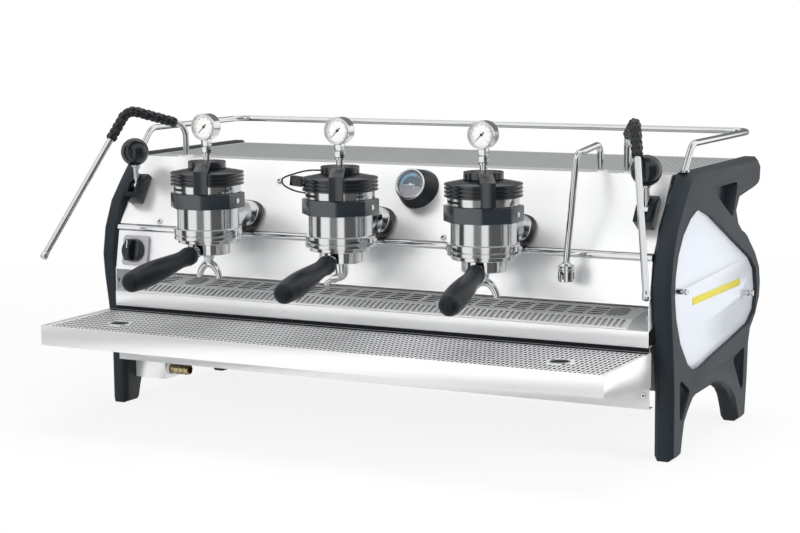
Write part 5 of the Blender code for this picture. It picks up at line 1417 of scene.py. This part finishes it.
class MACHINE_OT_groups(bpy.types.Operator):
    """Brew bodies, clamp collars, finned caps and hand paddles"""
    bl_idname = "machine.groups"
    bl_label = "Brew groups"

    def execute(self, context):
        sizes = context.scene.machine_groups
        for name in GROUPS:
            here = at(*group_axis(name))
            self.body(name, sizes, here)
            self.collar(name, sizes, here)
            self.cap(name, sizes, here)
            self.paddle(name, sizes, here)
        return {"FINISHED"}

    def body(self, name, sizes, here):
        brew, flange = sizes.brew_radius, sizes.flange_radius
        wide, low, high = BAYONET
        groove = flange - GROOVE_DEPTH
        groove_low, groove_top = [FLANGE_LOW + rise for rise in GROOVE_RISE]
        outside = softened([
            (0, BAND_TOP), (sizes.band_radius, BAND_TOP), (sizes.band_radius, BAND_LOW),
            (brew, BAND_LOW), (brew, SHOULDER), (flange, SHOULDER),
            (flange, groove_top), (groove, groove_top), (groove, groove_low),
            (flange, groove_low),
            (flange, FLANGE_LOW), (sizes.low_radius, FLANGE_LOW),
            (sizes.low_radius, BODY_LOW), (SOCKET_R, BODY_LOW)], CASTING_EDGE)
        inside = [(SOCKET_R, low), (wide, low), (wide, high), (SOCKET_R, high),
                  (SOCKET_R, SOCKET_TOP), (0, SOCKET_TOP)]
        x, y, z = LUG_PLACE
        lugs = [moved(bevelled(block(*LUG), 0.0012), at(side * x, y, z)) for _, side in SIDES]
        shape = join_shapes([turned(outside + inside, 96)] + lugs)
        made_piece("brew_body_" + name, moved(shape, here), "brew",
                   stands_for="group_body_" + name)
        self.neck(name, here)
        # A dark bar on the band paints the shade in its slot
        slot = arc_band(sizes.band_radius - 0.001, sizes.band_radius + 0.0003, *BAND_SLOT)
        made_piece("band_slot_" + name, moved(slot, here), "dark")

    def neck(self, name, here):
        """The neck that widens towards the panel, and its gasket and flange on the panel."""
        path = [Vector((0, NECK_START + NECK_LENGTH * k / NECK_STEPS, NECK_SEEN))
                for k in range(NECK_STEPS + 1)]
        neck = tube(path, lambda i, a: NECK_RADIUS + NECK_FLARE * (i / NECK_STEPS) ** 2, 64)
        made_piece("neck_" + name, moved(neck, here), "brew")
        x = here.translation.x
        gasket = bevelled(extruded(ring_outline(*GASKET), *GASKET_THICK), 0.002)
        made_piece("neck_gasket_" + name, moved(gasket, panel_frame(x, GASKET_Z)), "enamel")
        flange = bevelled(extruded(ring_outline(*FLANGE), *FLANGE_THICK), 0.0020)
        made_piece("neck_flange_" + name, moved(flange, panel_frame(x, FLANGE_Z)), "brew")

    def collar(self, name, sizes, here):
        corner = sizes.collar_flats / 2 / math.cos(math.pi / 8)
        outline = [(corner * math.cos(math.pi / 8 + k * math.pi / 4),
                    corner * math.sin(math.pi / 8 + k * math.pi / 4)) for k in range(8)]
        shape = bevelled(extruded(outline, *COLLAR), 0.0013)
        made_piece("clamp_collar_" + name, moved(shape, here), "collar",
                   stands_for="group_collar_" + name)
        middle = (COLLAR[0] + COLLAR[1]) / 2
        head = lathe(COLLAR_SCREW, 24, 0.0008)
        heads = []
        for degrees in (0, 180):
            turn = spun(degrees)
            place = turn @ Vector((sizes.collar_flats / 2 - SCREW_SUNK, 0, 0))
            heads.append(moved(head, at(0, 0, middle) @ Matrix.Translation(place)
                               @ (turn @ TO_RIGHT)))
        made_piece("collar_screws_" + name, moved(join_shapes(heads), here), "chrome")

    def cap(self, name, sizes, here):
        low, high = CAP
        fin = (high - low) / (2 * sizes.fin_count - 1)
        groove = sizes.cap_radius - FIN_DEPTH
        disc_top, boss_top = HUB[0] - HUB_GAP, HUB[1] + HUB_GAP
        profile = [(0, boss_top), (BOSS_R, boss_top), (BOSS_R, disc_top), (DISC_R, disc_top)]
        for index in range(sizes.fin_count):
            top = high - index * 2 * fin
            if index:
                profile.append((groove, top))
            profile += [(sizes.cap_radius, top), (sizes.cap_radius, top - fin)]
            if index < sizes.fin_count - 1:
                profile.append((groove, top - fin))
        profile.append((0, low))
        shape = turned(softened(profile, CASTING_EDGE, 2), 96)
        made_piece("finned_cap_" + name, moved(shape, here), "enamel",
                   stands_for="group_cap_" + name)

    def paddle(self, name, sizes, here):
        hub_low, hub_top = HUB
        radius = sizes.hub_radius
        bore = BOSS_R + 0.0004
        hub = lathe([(bore, hub_top), (radius, hub_top), (radius, hub_low), (bore, hub_low)],
                    64, 0.0012, closed=True)
        strap = [(BOSS_R + 0.0006, hub_low + 0.0005), (0.031, hub_low + 0.0002),
                 (STRAP_IN, CAP[1] + 0.0008), (STRAP_IN, STRAP_LOW), (STRAP_OUT, STRAP_LOW),
                 (STRAP_OUT, STRAP_SHOULDER),
                 (0.030, hub_top - 0.0005), (0.028, hub_top + 0.0001),
                 (BOSS_R + 0.0006, hub_top + 0.0001)]
        angle = math.radians(PADDLE_TURNS[name])
        out = Vector((math.sin(angle), -math.cos(angle), 0))
        up = Vector((0, 0, 1))
        frame_out = Matrix((out, up, out.cross(up))).transposed().to_4x4()
        half = sizes.strap_width / 2
        arm = moved(bevelled(extruded(strap, -half, half), 0.0012), frame_out)
        parts = [hub, arm]
        turn = Matrix.Rotation(angle, 4, "Z")
        lug = bevelled(block(*PADDLE_LUG), 0.001)
        for _, side in SIDES:
            spot = turn @ Vector((side * radius * PADDLE_LUG_SHARE, -PADDLE_LUG_BACK, 0))
            parts.append(moved(lug, at(spot.x, spot.y, hub_top - 0.0006) @ turn))
        made_piece("hand_paddle_" + name, moved(join_shapes(parts), here), "enamel",
                   "paddle_" + name, stands_for="paddle_" + name)


# Operators: the gauges

def pointer(scale):
    """A needle along +Y with its tail and its hub, lying on z = 0."""
    wide = 0.00065 * scale
    blade = extruded([(-wide, -0.0055 * scale), (wide, -0.0055 * scale),
                      (wide / 2, 0.0125 * scale), (-wide / 2, 0.0125 * scale)], -0.0003, 0.0003)
    radius = 0.0020 * scale
    hub = lathe([(0, 0.0012), (radius, 0.0012), (radius, -0.0003), (0, -0.0003)], 24, 0.0004)
    return join_shapes([blade, hub])


def scale_marks(count, sweep, inner, outer, width, height, long_every=4):
    """Marks on a dial about Z, open at the bottom."""
    marks = []
    for index in range(count):
        angle = QUARTER + sweep / 2 - sweep * index / (count - 1)
        start = inner if index % long_every == 0 else (inner + outer) / 2
        length = outer - start
        mark = block(length, width, 0.0002)
        turn = Matrix.Rotation(angle, 4, "Z") @ at((start + outer) / 2, 0, height)
        marks.append(moved(mark, turn))
    return join_shapes(marks)


GAUGE_Z = 0.4777
# The bezel: the dial's depth in it, how far it stands over the can, and its own depth
DIAL_DEPTH = 0.0055
BEZEL_LIP = 0.0008
BEZEL_DEPTH = 0.0056
NUT = [(0, 0.0045), (0.0087, 0.0045), (0.0087, -0.0045), (0, -0.0045)]
NUT_Z = 0.4420
STEM_BLOCK = (0.0125, 0.0125, 0.010)
STEM_BLOCK_Z = 0.4530
STEM = [(0, 0.462), (0.0052, 0.462), (0.0052, 0.4375), (0.0085, 0.4369), (0.0085, 0.4340),
        (0.0058, 0.4334), (0.0058, 0.4249), (0, 0.4249)]
MARKS = (0.0128, 0.0164, 0.00055)
NEEDLE_TURN = 135
# The boiler gauge: its place on the panel, its lean, and its pieces out from the panel
BOILER_PLACE = (0.065, 0.3777, 0.001)
BOILER_LEAN = 21.5
DRUM = [(0, 0.0276), (0.0225, 0.0276), (0.0225, 0.0305), (0.0255, 0.0305), (0.0262, 0.0270),
        (0.0335, -0.001), (0.0345, -0.008), (0, -0.008)]
DRUM_RING = [(0.0205, 0.0284), (0.0205, 0.0335), (0.0250, 0.0335), (0.0250, 0.0304),
             (0.0228, 0.0304)]
BOILER_DIAL = [(0, 0.0284), (0.0226, 0.0284), (0.0226, 0.0277), (0, 0.0277)]
LOW_HALF = (0.0040, 0.0200, 0.0283, 0.02850, 190, 350)
BLUE_ARC = (0.0140, 0.0185, 0.0283, 0.02855, 60, 190)
BOILER_MARKS = (19, math.radians(250), 0.0160, 0.0198, 0.0007, 0.0286, 3)
STILL_POINTER = (0.8, 0.02870, -128)
BOILER_POINTER = (1.2, 94)


class MACHINE_OT_gauges(bpy.types.Operator):
    """Pressure gauges of the groups, and the boiler gauge on its drum"""
    bl_idname = "machine.gauges"
    bl_label = "Gauges"

    def execute(self, context):
        sizes = context.scene.machine_gauges
        for name in GROUPS:
            self.group_gauge(name, sizes)
        self.boiler()
        return {"FINISHED"}

    def group_gauge(self, name, sizes):
        axis = group_axis(name)
        face = Matrix.Translation((axis.x, axis.y, GAUGE_Z)) @ TO_FRONT
        radius, front = sizes.radius, sizes.depth / 2
        opening = radius - sizes.bezel
        floor = front - DIAL_DEPTH
        can, back = radius - BEZEL_LIP, front - BEZEL_DEPTH
        case = lathe([(0, floor), (opening, floor), (opening, front), (radius, front),
                      (radius, back), (can, back), (can, -front), (0, -front)], 72, 0.0012)
        nut = moved(bevelled(turned(NUT, 6), 0.0006), at(0, 0, NUT_Z - GAUGE_Z))
        stem_block = moved(bevelled(block(*STEM_BLOCK), 0.0008), at(0, 0, STEM_BLOCK_Z - GAUGE_Z))
        stem = moved(turned(STEM, 32), at(0, 0, -GAUGE_Z))
        upright = Matrix.Translation((axis.x, axis.y, GAUGE_Z))
        shape = join_shapes([moved(case, face), moved(join_shapes([nut, stem_block, stem]),
                                                      upright)])
        made_piece("gauge_case_" + name, shape, "chrome", stands_for="gauge_" + name, smooth=35)
        dial = turned([(0, floor + 0.0004), (opening - 0.0002, floor + 0.0004),
                       (opening - 0.0002, floor - 0.0002), (0, floor - 0.0002)], 64)
        made_piece("gauge_dial_" + name, moved(dial, face), "dial")
        marks = scale_marks(sizes.tick_count, sizes.sweep, *MARKS, floor + 0.0005)
        made_piece("gauge_marks_" + name, moved(marks, face), "ink")
        low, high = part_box("needle_" + name)
        depth = axis.y - (low[1] + high[1]) / 2
        needle = moved(pointer(1.0), face @ at(0, 0, depth) @ spun(NEEDLE_TURN))
        made_piece("gauge_needle_" + name, needle, "ink", "needle_" + name,
                   stands_for="needle_" + name)

    def boiler(self):
        aim = Matrix.Rotation(QUARTER - math.radians(BOILER_LEAN), 4, "X")
        face = Matrix.Translation(panel_place(*BOILER_PLACE)) @ aim
        made_piece("boiler_drum", moved(lathe(DRUM, 72, 0.0012), face), "plastic",
                   stands_for="boiler_gauge")
        ring = lathe(DRUM_RING, 72, 0.0009, closed=True)
        made_piece("boiler_ring", moved(ring, face), "chrome")
        made_piece("boiler_dial", moved(turned(BOILER_DIAL, 64), face), "boiler_dial")
        made_piece("boiler_dial_low", moved(arc_band(*LOW_HALF, 32), face), "plate")
        made_piece("boiler_arc", moved(arc_band(*BLUE_ARC, 32), face), "arc")
        made_piece("boiler_marks", moved(scale_marks(*BOILER_MARKS), face), "pale")
        scale, out, degrees = STILL_POINTER
        still = moved(pointer(scale), face @ at(0, 0, out) @ spun(degrees))
        made_piece("boiler_still_pointer", still, "pale")
        scale, degrees = BOILER_POINTER
        middle = face.inverted() @ middle_of("needle_boiler")
        needle = moved(pointer(scale), face @ at(0, 0, middle.z) @ spun(degrees))
        made_piece("boiler_pointer", needle, "pale", "needle_boiler",
                   stands_for="needle_boiler")


# Operators: the portafilters

# Height of the grip's axis where it would meet the group's axis
GRIP_AXIS_Z = 0.288
# Share of the grip's length, and share of its radius there
GRIP_SHARES = [(0.78, 0.98), (0.62, 1.0), (0.45, 0.92), (0.30, 0.80), (0.18, 0.72),
               (0.10, 0.76), (0.06, 0.82), (0.0, 0.78)]
GRIP_END_SHARE = 0.86
GRIP_BORE = [(0.0070, 0.0), (0.0070, 0.006), (0, 0.006)]
ROD = [(0, 0.060), (0.0065, 0.060), (0.0065, 0.044), (0.0085, 0.0435), (0.0085, 0.030),
       (0, 0.030)]
BASKET = [(0, 0.285), (0.026, 0.285), (0.0290, 0.3145)]
RIM_HEIGHTS = (0.3145, 0.2962)
BOWL_HEIGHTS = (0.2955, 0.2785)
BOWL_FOOT = [(0.0112, 0.2782), (0.0088, 0.2745), (0.0064, 0.2645), (0.0060, 0.2600),
             (0, 0.2600)]
EAR = (0.0112, 0.0155, 0.0053)
EAR_PLACE = (0.0347, 0.30575)
SINGLE_SPOUT = "middle"
SINGLE_PATH = [(0, 0, 0.2780), (0, 0, 0.2575), (-0.0150, -0.0040, 0.2505),
               (-0.0240, -0.0064, 0.2425)]
SINGLE_RADIUS = 0.0112
SINGLE_TAPER = 0.0072
DOUBLE_TOP = 0.2625
DOUBLE_DROP = 0.0225
DOUBLE_SWEEP = math.radians(77)
DOUBLE_RADIUS = 0.0062
DOUBLE_TAPER_SHARE = 0.20
DOUBLE_HALF = 16
MOUTH = [(0, 0.0002), (0.0026, 0.0002), (0.0026, -0.0003), (0, -0.0003)]
MOUTH_Z = 0.2400


class MACHINE_OT_portafilters(bpy.types.Operator):
    """Bowls, spouts and turned grips"""
    bl_idname = "machine.portafilters"
    bl_label = "Portafilters"

    def execute(self, context):
        sizes = context.scene.machine_portafilters
        for name in GROUPS:
            here = Matrix.Translation(group_axis(name)) @ spun(HANDLE_TURNS[name])
            self.bowl(name, sizes, here)
            self.grip(name, sizes, here)
        return {"FINISHED"}

    def lean(self, sizes):
        return Matrix.Rotation(QUARTER + sizes.grip_drop, 4, "X")

    def bowl(self, name, sizes, here):
        wide, rim = sizes.bowl_radius, sizes.rim_radius
        profile = (BASKET + [(rim, z) for z in RIM_HEIGHTS] + [(wide, z) for z in BOWL_HEIGHTS]
                   + BOWL_FOOT)
        ear = bevelled(block(*EAR), 0.0007)
        x, z = EAR_PLACE
        parts = [lathe(profile, 80, 0.0016)]
        parts += [moved(ear, at(side * x, 0, z)) for _, side in SIDES]
        parts.append(self.single_spout() if name == SINGLE_SPOUT else self.double_spout(sizes))
        parts.append(moved(lathe(ROD, 32, 0.0006), at(0, 0, GRIP_AXIS_Z) @ self.lean(sizes)))
        made_piece("bowl_" + name, moved(join_shapes(parts), here), "chrome",
                   "portafilter_" + name, stands_for="portafilter_" + name)
        if name == SINGLE_SPOUT:
            return
        # Dark discs at the spouts' mouths paint the shade inside the spouts
        mouths = [moved(turned(MOUTH, 20), at(side * sizes.spout_spread, 0, MOUTH_Z))
                  for _, side in SIDES]
        made_piece("spout_mouths_" + name, moved(join_shapes(mouths), here), "dark",
                   "portafilter_" + name)

    def single_spout(self):
        """A spout that narrows to its mouth over the first three quarters of its length."""
        path = rounded_path(SINGLE_PATH, 0.008, 8)
        last = len(path) - 1
        return tube(path, lambda i, a: SINGLE_RADIUS - SINGLE_TAPER * min(1.0, 1.3 * i / last), 28)

    def double_spout(self, sizes):
        """Two spouts as one arched tube, a little narrower at both its mouths."""
        path = []
        for step in range(2 * DOUBLE_HALF + 1):
            bend = DOUBLE_SWEEP * (step / DOUBLE_HALF - 1)
            drop = DOUBLE_DROP * (1 - math.cos(bend)) / (1 - math.cos(DOUBLE_SWEEP))
            across = sizes.spout_spread * math.sin(bend) / math.sin(DOUBLE_SWEEP)
            path.append(Vector((across, 0, DOUBLE_TOP - drop)))
        return tube(path, lambda i, a: DOUBLE_RADIUS * (
            1 - abs(i / DOUBLE_HALF - 1) * DOUBLE_TAPER_SHARE), 24)

    def grip(self, name, sizes, here):
        length = sizes.grip_end - sizes.grip_start
        end = sizes.grip_radius * GRIP_END_SHARE
        profile = [(0, length)]
        for step in range(1, 13):
            angle = QUARTER * step / 12
            profile.append((end * math.sin(angle), length - end * (1 - math.cos(angle))))
        profile += smooth_curve([(sizes.grip_radius * r, length * s) for s, r in GRIP_SHARES])
        profile += GRIP_BORE
        down, out = math.sin(sizes.grip_drop), math.cos(sizes.grip_drop)
        start = at(0, -sizes.grip_start * out, GRIP_AXIS_Z - sizes.grip_start * down)
        made_piece("grip_" + name, moved(turned(profile, 56), here @ start @ self.lean(sizes)),
                   "plastic", "portafilter_" + name, stands_for="portafilter_handle_" + name)


# Operators: wands, tap and levers

FITTINGS_Y = -0.090
WAND_X = 0.394
# The wands' turn out from the front, in degrees
WAND_TURN = 27
WAND_PATH = [(0, 0, 0.4012), (0, 0, 0.4652), (0, -0.1071, 0.49605), (0, -0.2668, 0.2630)]
WAND_BEND = 0.024
NOZZLE = 0.012
NOZZLE_PROFILE = [(0, NOZZLE), (0.0040, NOZZLE), (0.0062, NOZZLE - 0.002),
                  (0.0060, NOZZLE - 0.006), (0.0050, 0.0), (0, 0.0)]
GRIP_START = 0.079
GRIP_LENGTH = 0.1445
KNOB_STEPS = 6
# Radius between the knobs as a share of the grip's, and how steep the knobs rise
KNOB_LOW_SHARE = 0.84
KNOB_RISE = 1.5
TAP_X = 0.351
TAP_PATH = [(0, 0, 0.4012), (0, 0, 0.4552), (0, -0.092, 0.4462), (0, -0.1295, 0.2879)]
TAP_BEND = 0.014
TAP_Y = -0.1295
TAP_LIFT = 0.0049
TAP_GROOVE = 0.0014
TAP_WALL = 0.0016
TAP_SLOT = (0.0006, 0.0022, 0.0100)
TAP_SLOT_Z = 0.2735


class MACHINE_OT_wands(bpy.types.Operator):
    """Steam wands with knobbed grips, and the hot water tap"""
    bl_idname = "machine.wands"
    bl_label = "Wands and tap"

    def execute(self, context):
        sizes = context.scene.machine_wands
        for name, side in SIDES:
            self.wand(name, side, sizes)
        self.tap(sizes)
        return {"FINISHED"}

    def wand(self, name, side, sizes):
        here = (Matrix.Translation(world_at(side * WAND_X, FITTINGS_Y, 0))
                @ Matrix.Rotation(side * math.radians(WAND_TURN), 4, "Z"))
        path = rounded_path(WAND_PATH, WAND_BEND, 14)
        along = (path[-1] - path[-2]).normalized()
        foot = path[-1] - along * NOZZLE
        turn = along.to_track_quat("Z", "Y").to_matrix().to_4x4()
        shape = join_shapes([tube(path[:-1] + [foot], sizes.tube_radius, 24),
                             moved(lathe(NOZZLE_PROFILE, 28, 0.0006),
                                   Matrix.Translation(foot) @ turn)])
        made_piece("wand_tube_" + name, moved(shape, here), "chrome", "wand_" + name,
                   stands_for="steam_wand_" + name)
        spine = sampled(path, GRIP_START, GRIP_LENGTH, sizes.knob_rows * KNOB_STEPS)
        low = sizes.grip_radius * KNOB_LOW_SHARE

        def knobs(i, angle):
            row, step = divmod(i, KNOB_STEPS)
            along_row = math.sin(math.pi * step / KNOB_STEPS)
            stagger = math.pi * (row % 2)
            around = 0.5 + 0.5 * math.cos(sizes.knob_turns * angle + stagger)
            return low + (sizes.grip_radius - low) * min(1.0, KNOB_RISE * along_row * around)

        grip = tube(spine, knobs, sizes.knob_turns * 8)
        made_piece("wand_grip_" + name, moved(grip, here), "rubber", "wand_" + name,
                   stands_for="wand_grip_" + name)

    def tap(self, sizes):
        here = Matrix.Translation(world_at(TAP_X, FITTINGS_Y, 0))
        path = rounded_path(TAP_PATH, TAP_BEND, 12)
        wide = sizes.nozzle_radius
        groove, bore = wide - TAP_GROOVE, wide - TAP_WALL
        profile = [(0, 0.2879), (0.0052, 0.2879), (0.0064, 0.2860), (wide, 0.2826),
                   (wide, 0.2780), (groove, 0.2780), (groove, 0.2766), (wide, 0.2766),
                   (wide, 0.2596), (bore, 0.2596), (bore, 0.2724), (0, 0.2724)]
        nozzle = moved(lathe(profile, 48, 0.0006), at(0, TAP_Y, TAP_LIFT))
        made_piece("tap_tube", moved(join_shapes([tube(path, sizes.tube_radius, 24), nozzle]),
                                     here), "chrome", "tap", stands_for="hot_water_tap")
        # Dark bars round the nozzle paint the shade in its slots
        bar = bevelled(block(*TAP_SLOT), 0.0002)
        slots = [moved(bar, here @ at(0, TAP_Y, TAP_SLOT_Z) @ spun(degrees) @ at(wide, 0, 0))
                 for degrees in range(0, 360, 45)]
        made_piece("tap_slots", join_shapes(slots), "dark", "tap")


# The photograph shows the ball this far along its stem from the pin
BALL_CENTRE = 0.058
BALL_SINK_SHARE = 0.9
BALL_STEPS = 36
LEVER_PLACE = (0.45, -0.04314, 0.36622)
LEVER_LEAN = 4
LEVER_EYE = [(0, 0.0057), (0.007, 0.0057), (0.007, -0.0057), (0, -0.0057)]
LEVER_COLLAR = 0.0070
LEVER_STEM = 0.0045
SWITCH_PLACE = (-0.43, -0.0833, 0.26445)
SWITCH_LEAN = 79.66
KNOB = [(0, 0.0118), (0.0180, 0.0118), (0.0188, 0.0100), (0.0200, 0.0005), (0, 0.0005)]
KNOB_BAR = (0.009, 0.0350, 0.0120)
KNOB_BAR_Z = 0.0175
KNOB_MARK = (0.0012, 0.013, 0.0004)
KNOB_MARK_PLACE = (0, 0.0095, 0.0236)


class MACHINE_OT_levers(bpy.types.Operator):
    """Ball-ended steam levers and the rotary switch"""
    bl_idname = "machine.levers"
    bl_label = "Levers and switch"

    def execute(self, context):
        for name, side in SIDES:
            self.lever(name, side, context.scene.machine_wands.ball_radius)
        self.switch(context.scene.machine_metal)
        return {"FINISHED"}

    def lever(self, name, side, radius):
        x, y, z = LEVER_PLACE
        here = at(side * x, y, z) @ spun(LEVER_LEAN, "X")
        ball = [(0, BALL_CENTRE + radius)]
        for step in range(1, BALL_STEPS):
            angle = math.pi * step / BALL_STEPS
            ball.append((radius * math.sin(angle), BALL_CENTRE + radius * math.cos(angle)))
        ball.append((0, BALL_CENTRE - radius))
        made_piece("lever_ball_" + name, moved(turned(ball, 72), here), "glossy",
                   "steam_lever_" + name)
        eye = moved(lathe(LEVER_EYE, 40, 0.0006), TO_RIGHT)
        top = BALL_CENTRE - radius * BALL_SINK_SHARE
        stem = lathe([(0, top), (LEVER_COLLAR, top), (LEVER_COLLAR, top - 0.004),
                      (LEVER_STEM, top - 0.0045), (LEVER_STEM, 0), (0, 0)], 32, 0.0006)
        made_piece("lever_stem_" + name, moved(join_shapes([eye, stem]), here), "chrome",
                   "steam_lever_" + name, stands_for="steam_lever_" + name)

    def switch(self, metal):
        dress_node("switch_plate", "plate", metal.soft_edge)
        here = at(*SWITCH_PLACE) @ spun(SWITCH_LEAN, "X")
        bar = moved(bevelled(block(*KNOB_BAR), 0.0016, 3), at(0, 0, KNOB_BAR_Z))
        knob = join_shapes([lathe(KNOB, 64, 0.0012), bar])
        made_piece("switch_knob", moved(knob, here), "glossy", "knob", stands_for="switch_knob")
        mark = moved(block(*KNOB_MARK), at(*KNOB_MARK_PLACE))
        made_piece("switch_mark", moved(mark, here), "pale", "knob")


# Operators: the rail, the side inserts, the drain barb and the lead

RAIL_X = 0.485
RAIL_FOOT = (-0.095, 0.4173)
# Corners of one half of the rail: x, y and height
RAIL_CORNERS = [(-RAIL_X, *RAIL_FOOT), (-RAIL_X, -0.060, 0.457), (-RAIL_X, 0.222, 0.457)]
RAIL_RADIUS = 0.005
RAIL_BEND = 0.030
RAIL_FOOT_PROFILE = [(0, 0.0040), (0.0080, 0.0040), (0.0080, 0), (0, 0)]
# The side panels' depth from their front, and their height, in which the pins have their shares
PANEL_FRONT = -0.193
PANEL_DEPTH = 0.436
PANEL_HEIGHT = 0.417
PIN_SHARES = ((0.085, 0.600), (0.805, 0.490))
PIN_SINK = 0.003
PIN = [(0, 0.0200), (0.0047, 0.0200), (0.0047, 0.0170), (0.0030, 0.0170), (0.0030, 0.0140),
       (0.0047, 0.0140), (0.0047, 0), (0, 0)]
BAR = (0.0010, 0.225, 0.011)
BAR_PLACE = (0.036, 0.223)
BAR_OUT = 0.0003
# The photograph shows the barb this much nearer the front and lower than the solids have it
BARB_FORWARD = 0.024
BARB_LOWER = 0.0028
BARB_WASHER = [(0, 0.0030), (0.0110, 0.0030), (0.0110, 0), (0, 0)]
BARB_LENGTH = 0.0400
BARB_BORE = [(0, BARB_LENGTH - 0.0120), (0.0062, BARB_LENGTH - 0.0120), (0.0066, BARB_LENGTH)]
BARB_RIDGES = 3
BARB_RIDGE = 0.0095
BARB_LOW = 0.0080
BARB_HIGH = 0.0090
LEAD_Y = -0.1506
LEAD_LOOP = [(-0.0319, 0.4165), (-0.0500, 0.4160), (-0.0697, 0.4125), (-0.0973, 0.4038),
             (-0.1022, 0.3974), (-0.0975, 0.3904), (-0.0797, 0.3835), (-0.0600, 0.3808),
             (-0.0480, 0.3805)]
LEAD_RADIUS = 0.0013
LEAD_PLUG = (0.0215, 0.0120, 0.0150)
LEAD_PLUG_PLACE = (-0.0745, LEAD_Y, 0.3985)
LEAD_PLUG_LEAN = 5


class MACHINE_OT_details(bpy.types.Operator):
    """Cup rail, plain bars and pins on the side inserts, drain barb and lead"""
    bl_idname = "machine.details"
    bl_label = "Rail and details"

    def execute(self, context):
        self.rail()
        self.inserts()
        self.barb()
        self.lead()
        return {"FINISHED"}

    def rail(self):
        corners = RAIL_CORNERS + [(-x, y, z) for x, y, z in reversed(RAIL_CORNERS)]
        path = rounded_path([world_at(*corner) for corner in corners], RAIL_BEND, 12)
        foot = lathe(RAIL_FOOT_PROFILE, 32, 0.001)
        feet = [moved(foot, Matrix.Translation(world_at(side * RAIL_X, *RAIL_FOOT)))
                for _, side in SIDES]
        made_piece("cup_rail_tube", join_shapes([tube(path, RAIL_RADIUS, 24)] + feet), "chrome",
                   stands_for="cup_rail")

    def inserts(self):
        pin = lathe(PIN, 32, 0.0005)
        plain_bar = bevelled(block(*BAR), 0.0002)
        bars, pins = [], []
        for name, side in SIDES:
            low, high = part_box("side_insert_" + name)
            sheet = low[0] + PIN_SINK if side > 0 else high[0] - PIN_SINK
            outward = Matrix.Rotation(side * QUARTER, 4, "Y")
            for y_share, z_share in PIN_SHARES:
                place = world_at(sheet, PANEL_FRONT + PANEL_DEPTH * y_share,
                                 PANEL_HEIGHT * z_share)
                pins.append(moved(pin, Matrix.Translation(place) @ outward))
            bars.append(moved(plain_bar, Matrix.Translation(
                world_at(sheet + side * BAR_OUT, *BAR_PLACE))))
        made_piece("insert_pins", join_shapes(pins), "chrome")
        made_piece("plain_bars", join_shapes(bars), "bar")

    def barb(self):
        middle = middle_of("drain_barb")
        here = at(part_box("drain_box")[1][0], middle.y - BARB_FORWARD,
                  middle.z - BARB_LOWER) @ TO_RIGHT
        made_piece("barb_washer", moved(lathe(BARB_WASHER, 40, 0.0006), here), "pale")
        profile = list(BARB_BORE)
        for ridge in range(BARB_RIDGES):
            top = BARB_LENGTH - 0.0010 - ridge * BARB_RIDGE
            profile += [(BARB_LOW, top), (BARB_HIGH, top - 0.0070), (BARB_HIGH, top - 0.0082)]
        profile += [(BARB_LOW, top - 0.0090), (BARB_LOW, 0.0), (0, 0.0)]
        made_piece("barb", moved(lathe(profile, 40, 0.0004), here), "brass",
                   stands_for="drain_barb")

    def lead(self):
        """The lead's loop and its plug, as the photograph shows them beside the middle cap."""
        path = [Vector((x, LEAD_Y, z)) for x, z in smooth_curve(LEAD_LOOP, 6)]
        made_piece("lead", tube(path, LEAD_RADIUS, 14), "rubber", stands_for="sensor_cable")
        plug = bevelled(block(*LEAD_PLUG), 0.0012)
        made_piece("lead_plug", moved(plug, at(*LEAD_PLUG_PLACE) @ spun(LEAD_PLUG_LEAN, "Y")),
                   "glossy", stands_for="cap_sensor")


# The panel and registration

STEPS = ("casing", "sheets", "groups", "gauges", "portafilters", "wands", "levers", "details",
         "stage")


class MACHINE_PT_finish(bpy.types.Panel):
    """Lists the machine's sizes, colours and operators"""
    bl_idname = "MACHINE_PT_finish"
    bl_label = "Espresso machine"
    bl_space_type = "VIEW_3D"
    bl_region_type = "UI"
    bl_category = "Machine"

    def draw(self, context):
        column = self.layout.column(align=True)
        for name in STEPS:
            column.operator("machine." + name)
        for group in SCENE_GROUPS:
            settings = getattr(context.scene, group)
            box = self.layout.box()
            for key in settings.__annotations__:
                box.prop(settings, key)


SCENE_GROUPS = {
    "machine_colours": FinishColours, "machine_studio": StudioSizes,
    "machine_metal": MetalSizes, "machine_groups": GroupSizes, "machine_gauges": GaugeSizes,
    "machine_portafilters": PortafilterSizes, "machine_wands": WandSizes,
    "machine_sheets": SheetSizes,
}
CLASSES = tuple(SCENE_GROUPS.values()) + (
    MACHINE_OT_casing, MACHINE_OT_sheets, MACHINE_OT_groups, MACHINE_OT_gauges,
    MACHINE_OT_portafilters, MACHINE_OT_wands, MACHINE_OT_levers, MACHINE_OT_details,
    MACHINE_OT_stage, MACHINE_PT_finish)


def register():
    for kind in CLASSES:
        bpy.utils.register_class(kind)
    for name, kind in SCENE_GROUPS.items():
        setattr(bpy.types.Scene, name, PointerProperty(type=kind))


def unregister():
    for name in SCENE_GROUPS:
        delattr(bpy.types.Scene, name)
    for kind in reversed(CLASSES):
        bpy.utils.unregister_class(kind)


def main():
    register()
    make_finishes(bpy.context.scene)
    for name in STEPS:
        getattr(bpy.ops.machine, name)()


if __name__ == "__main__":
    main()
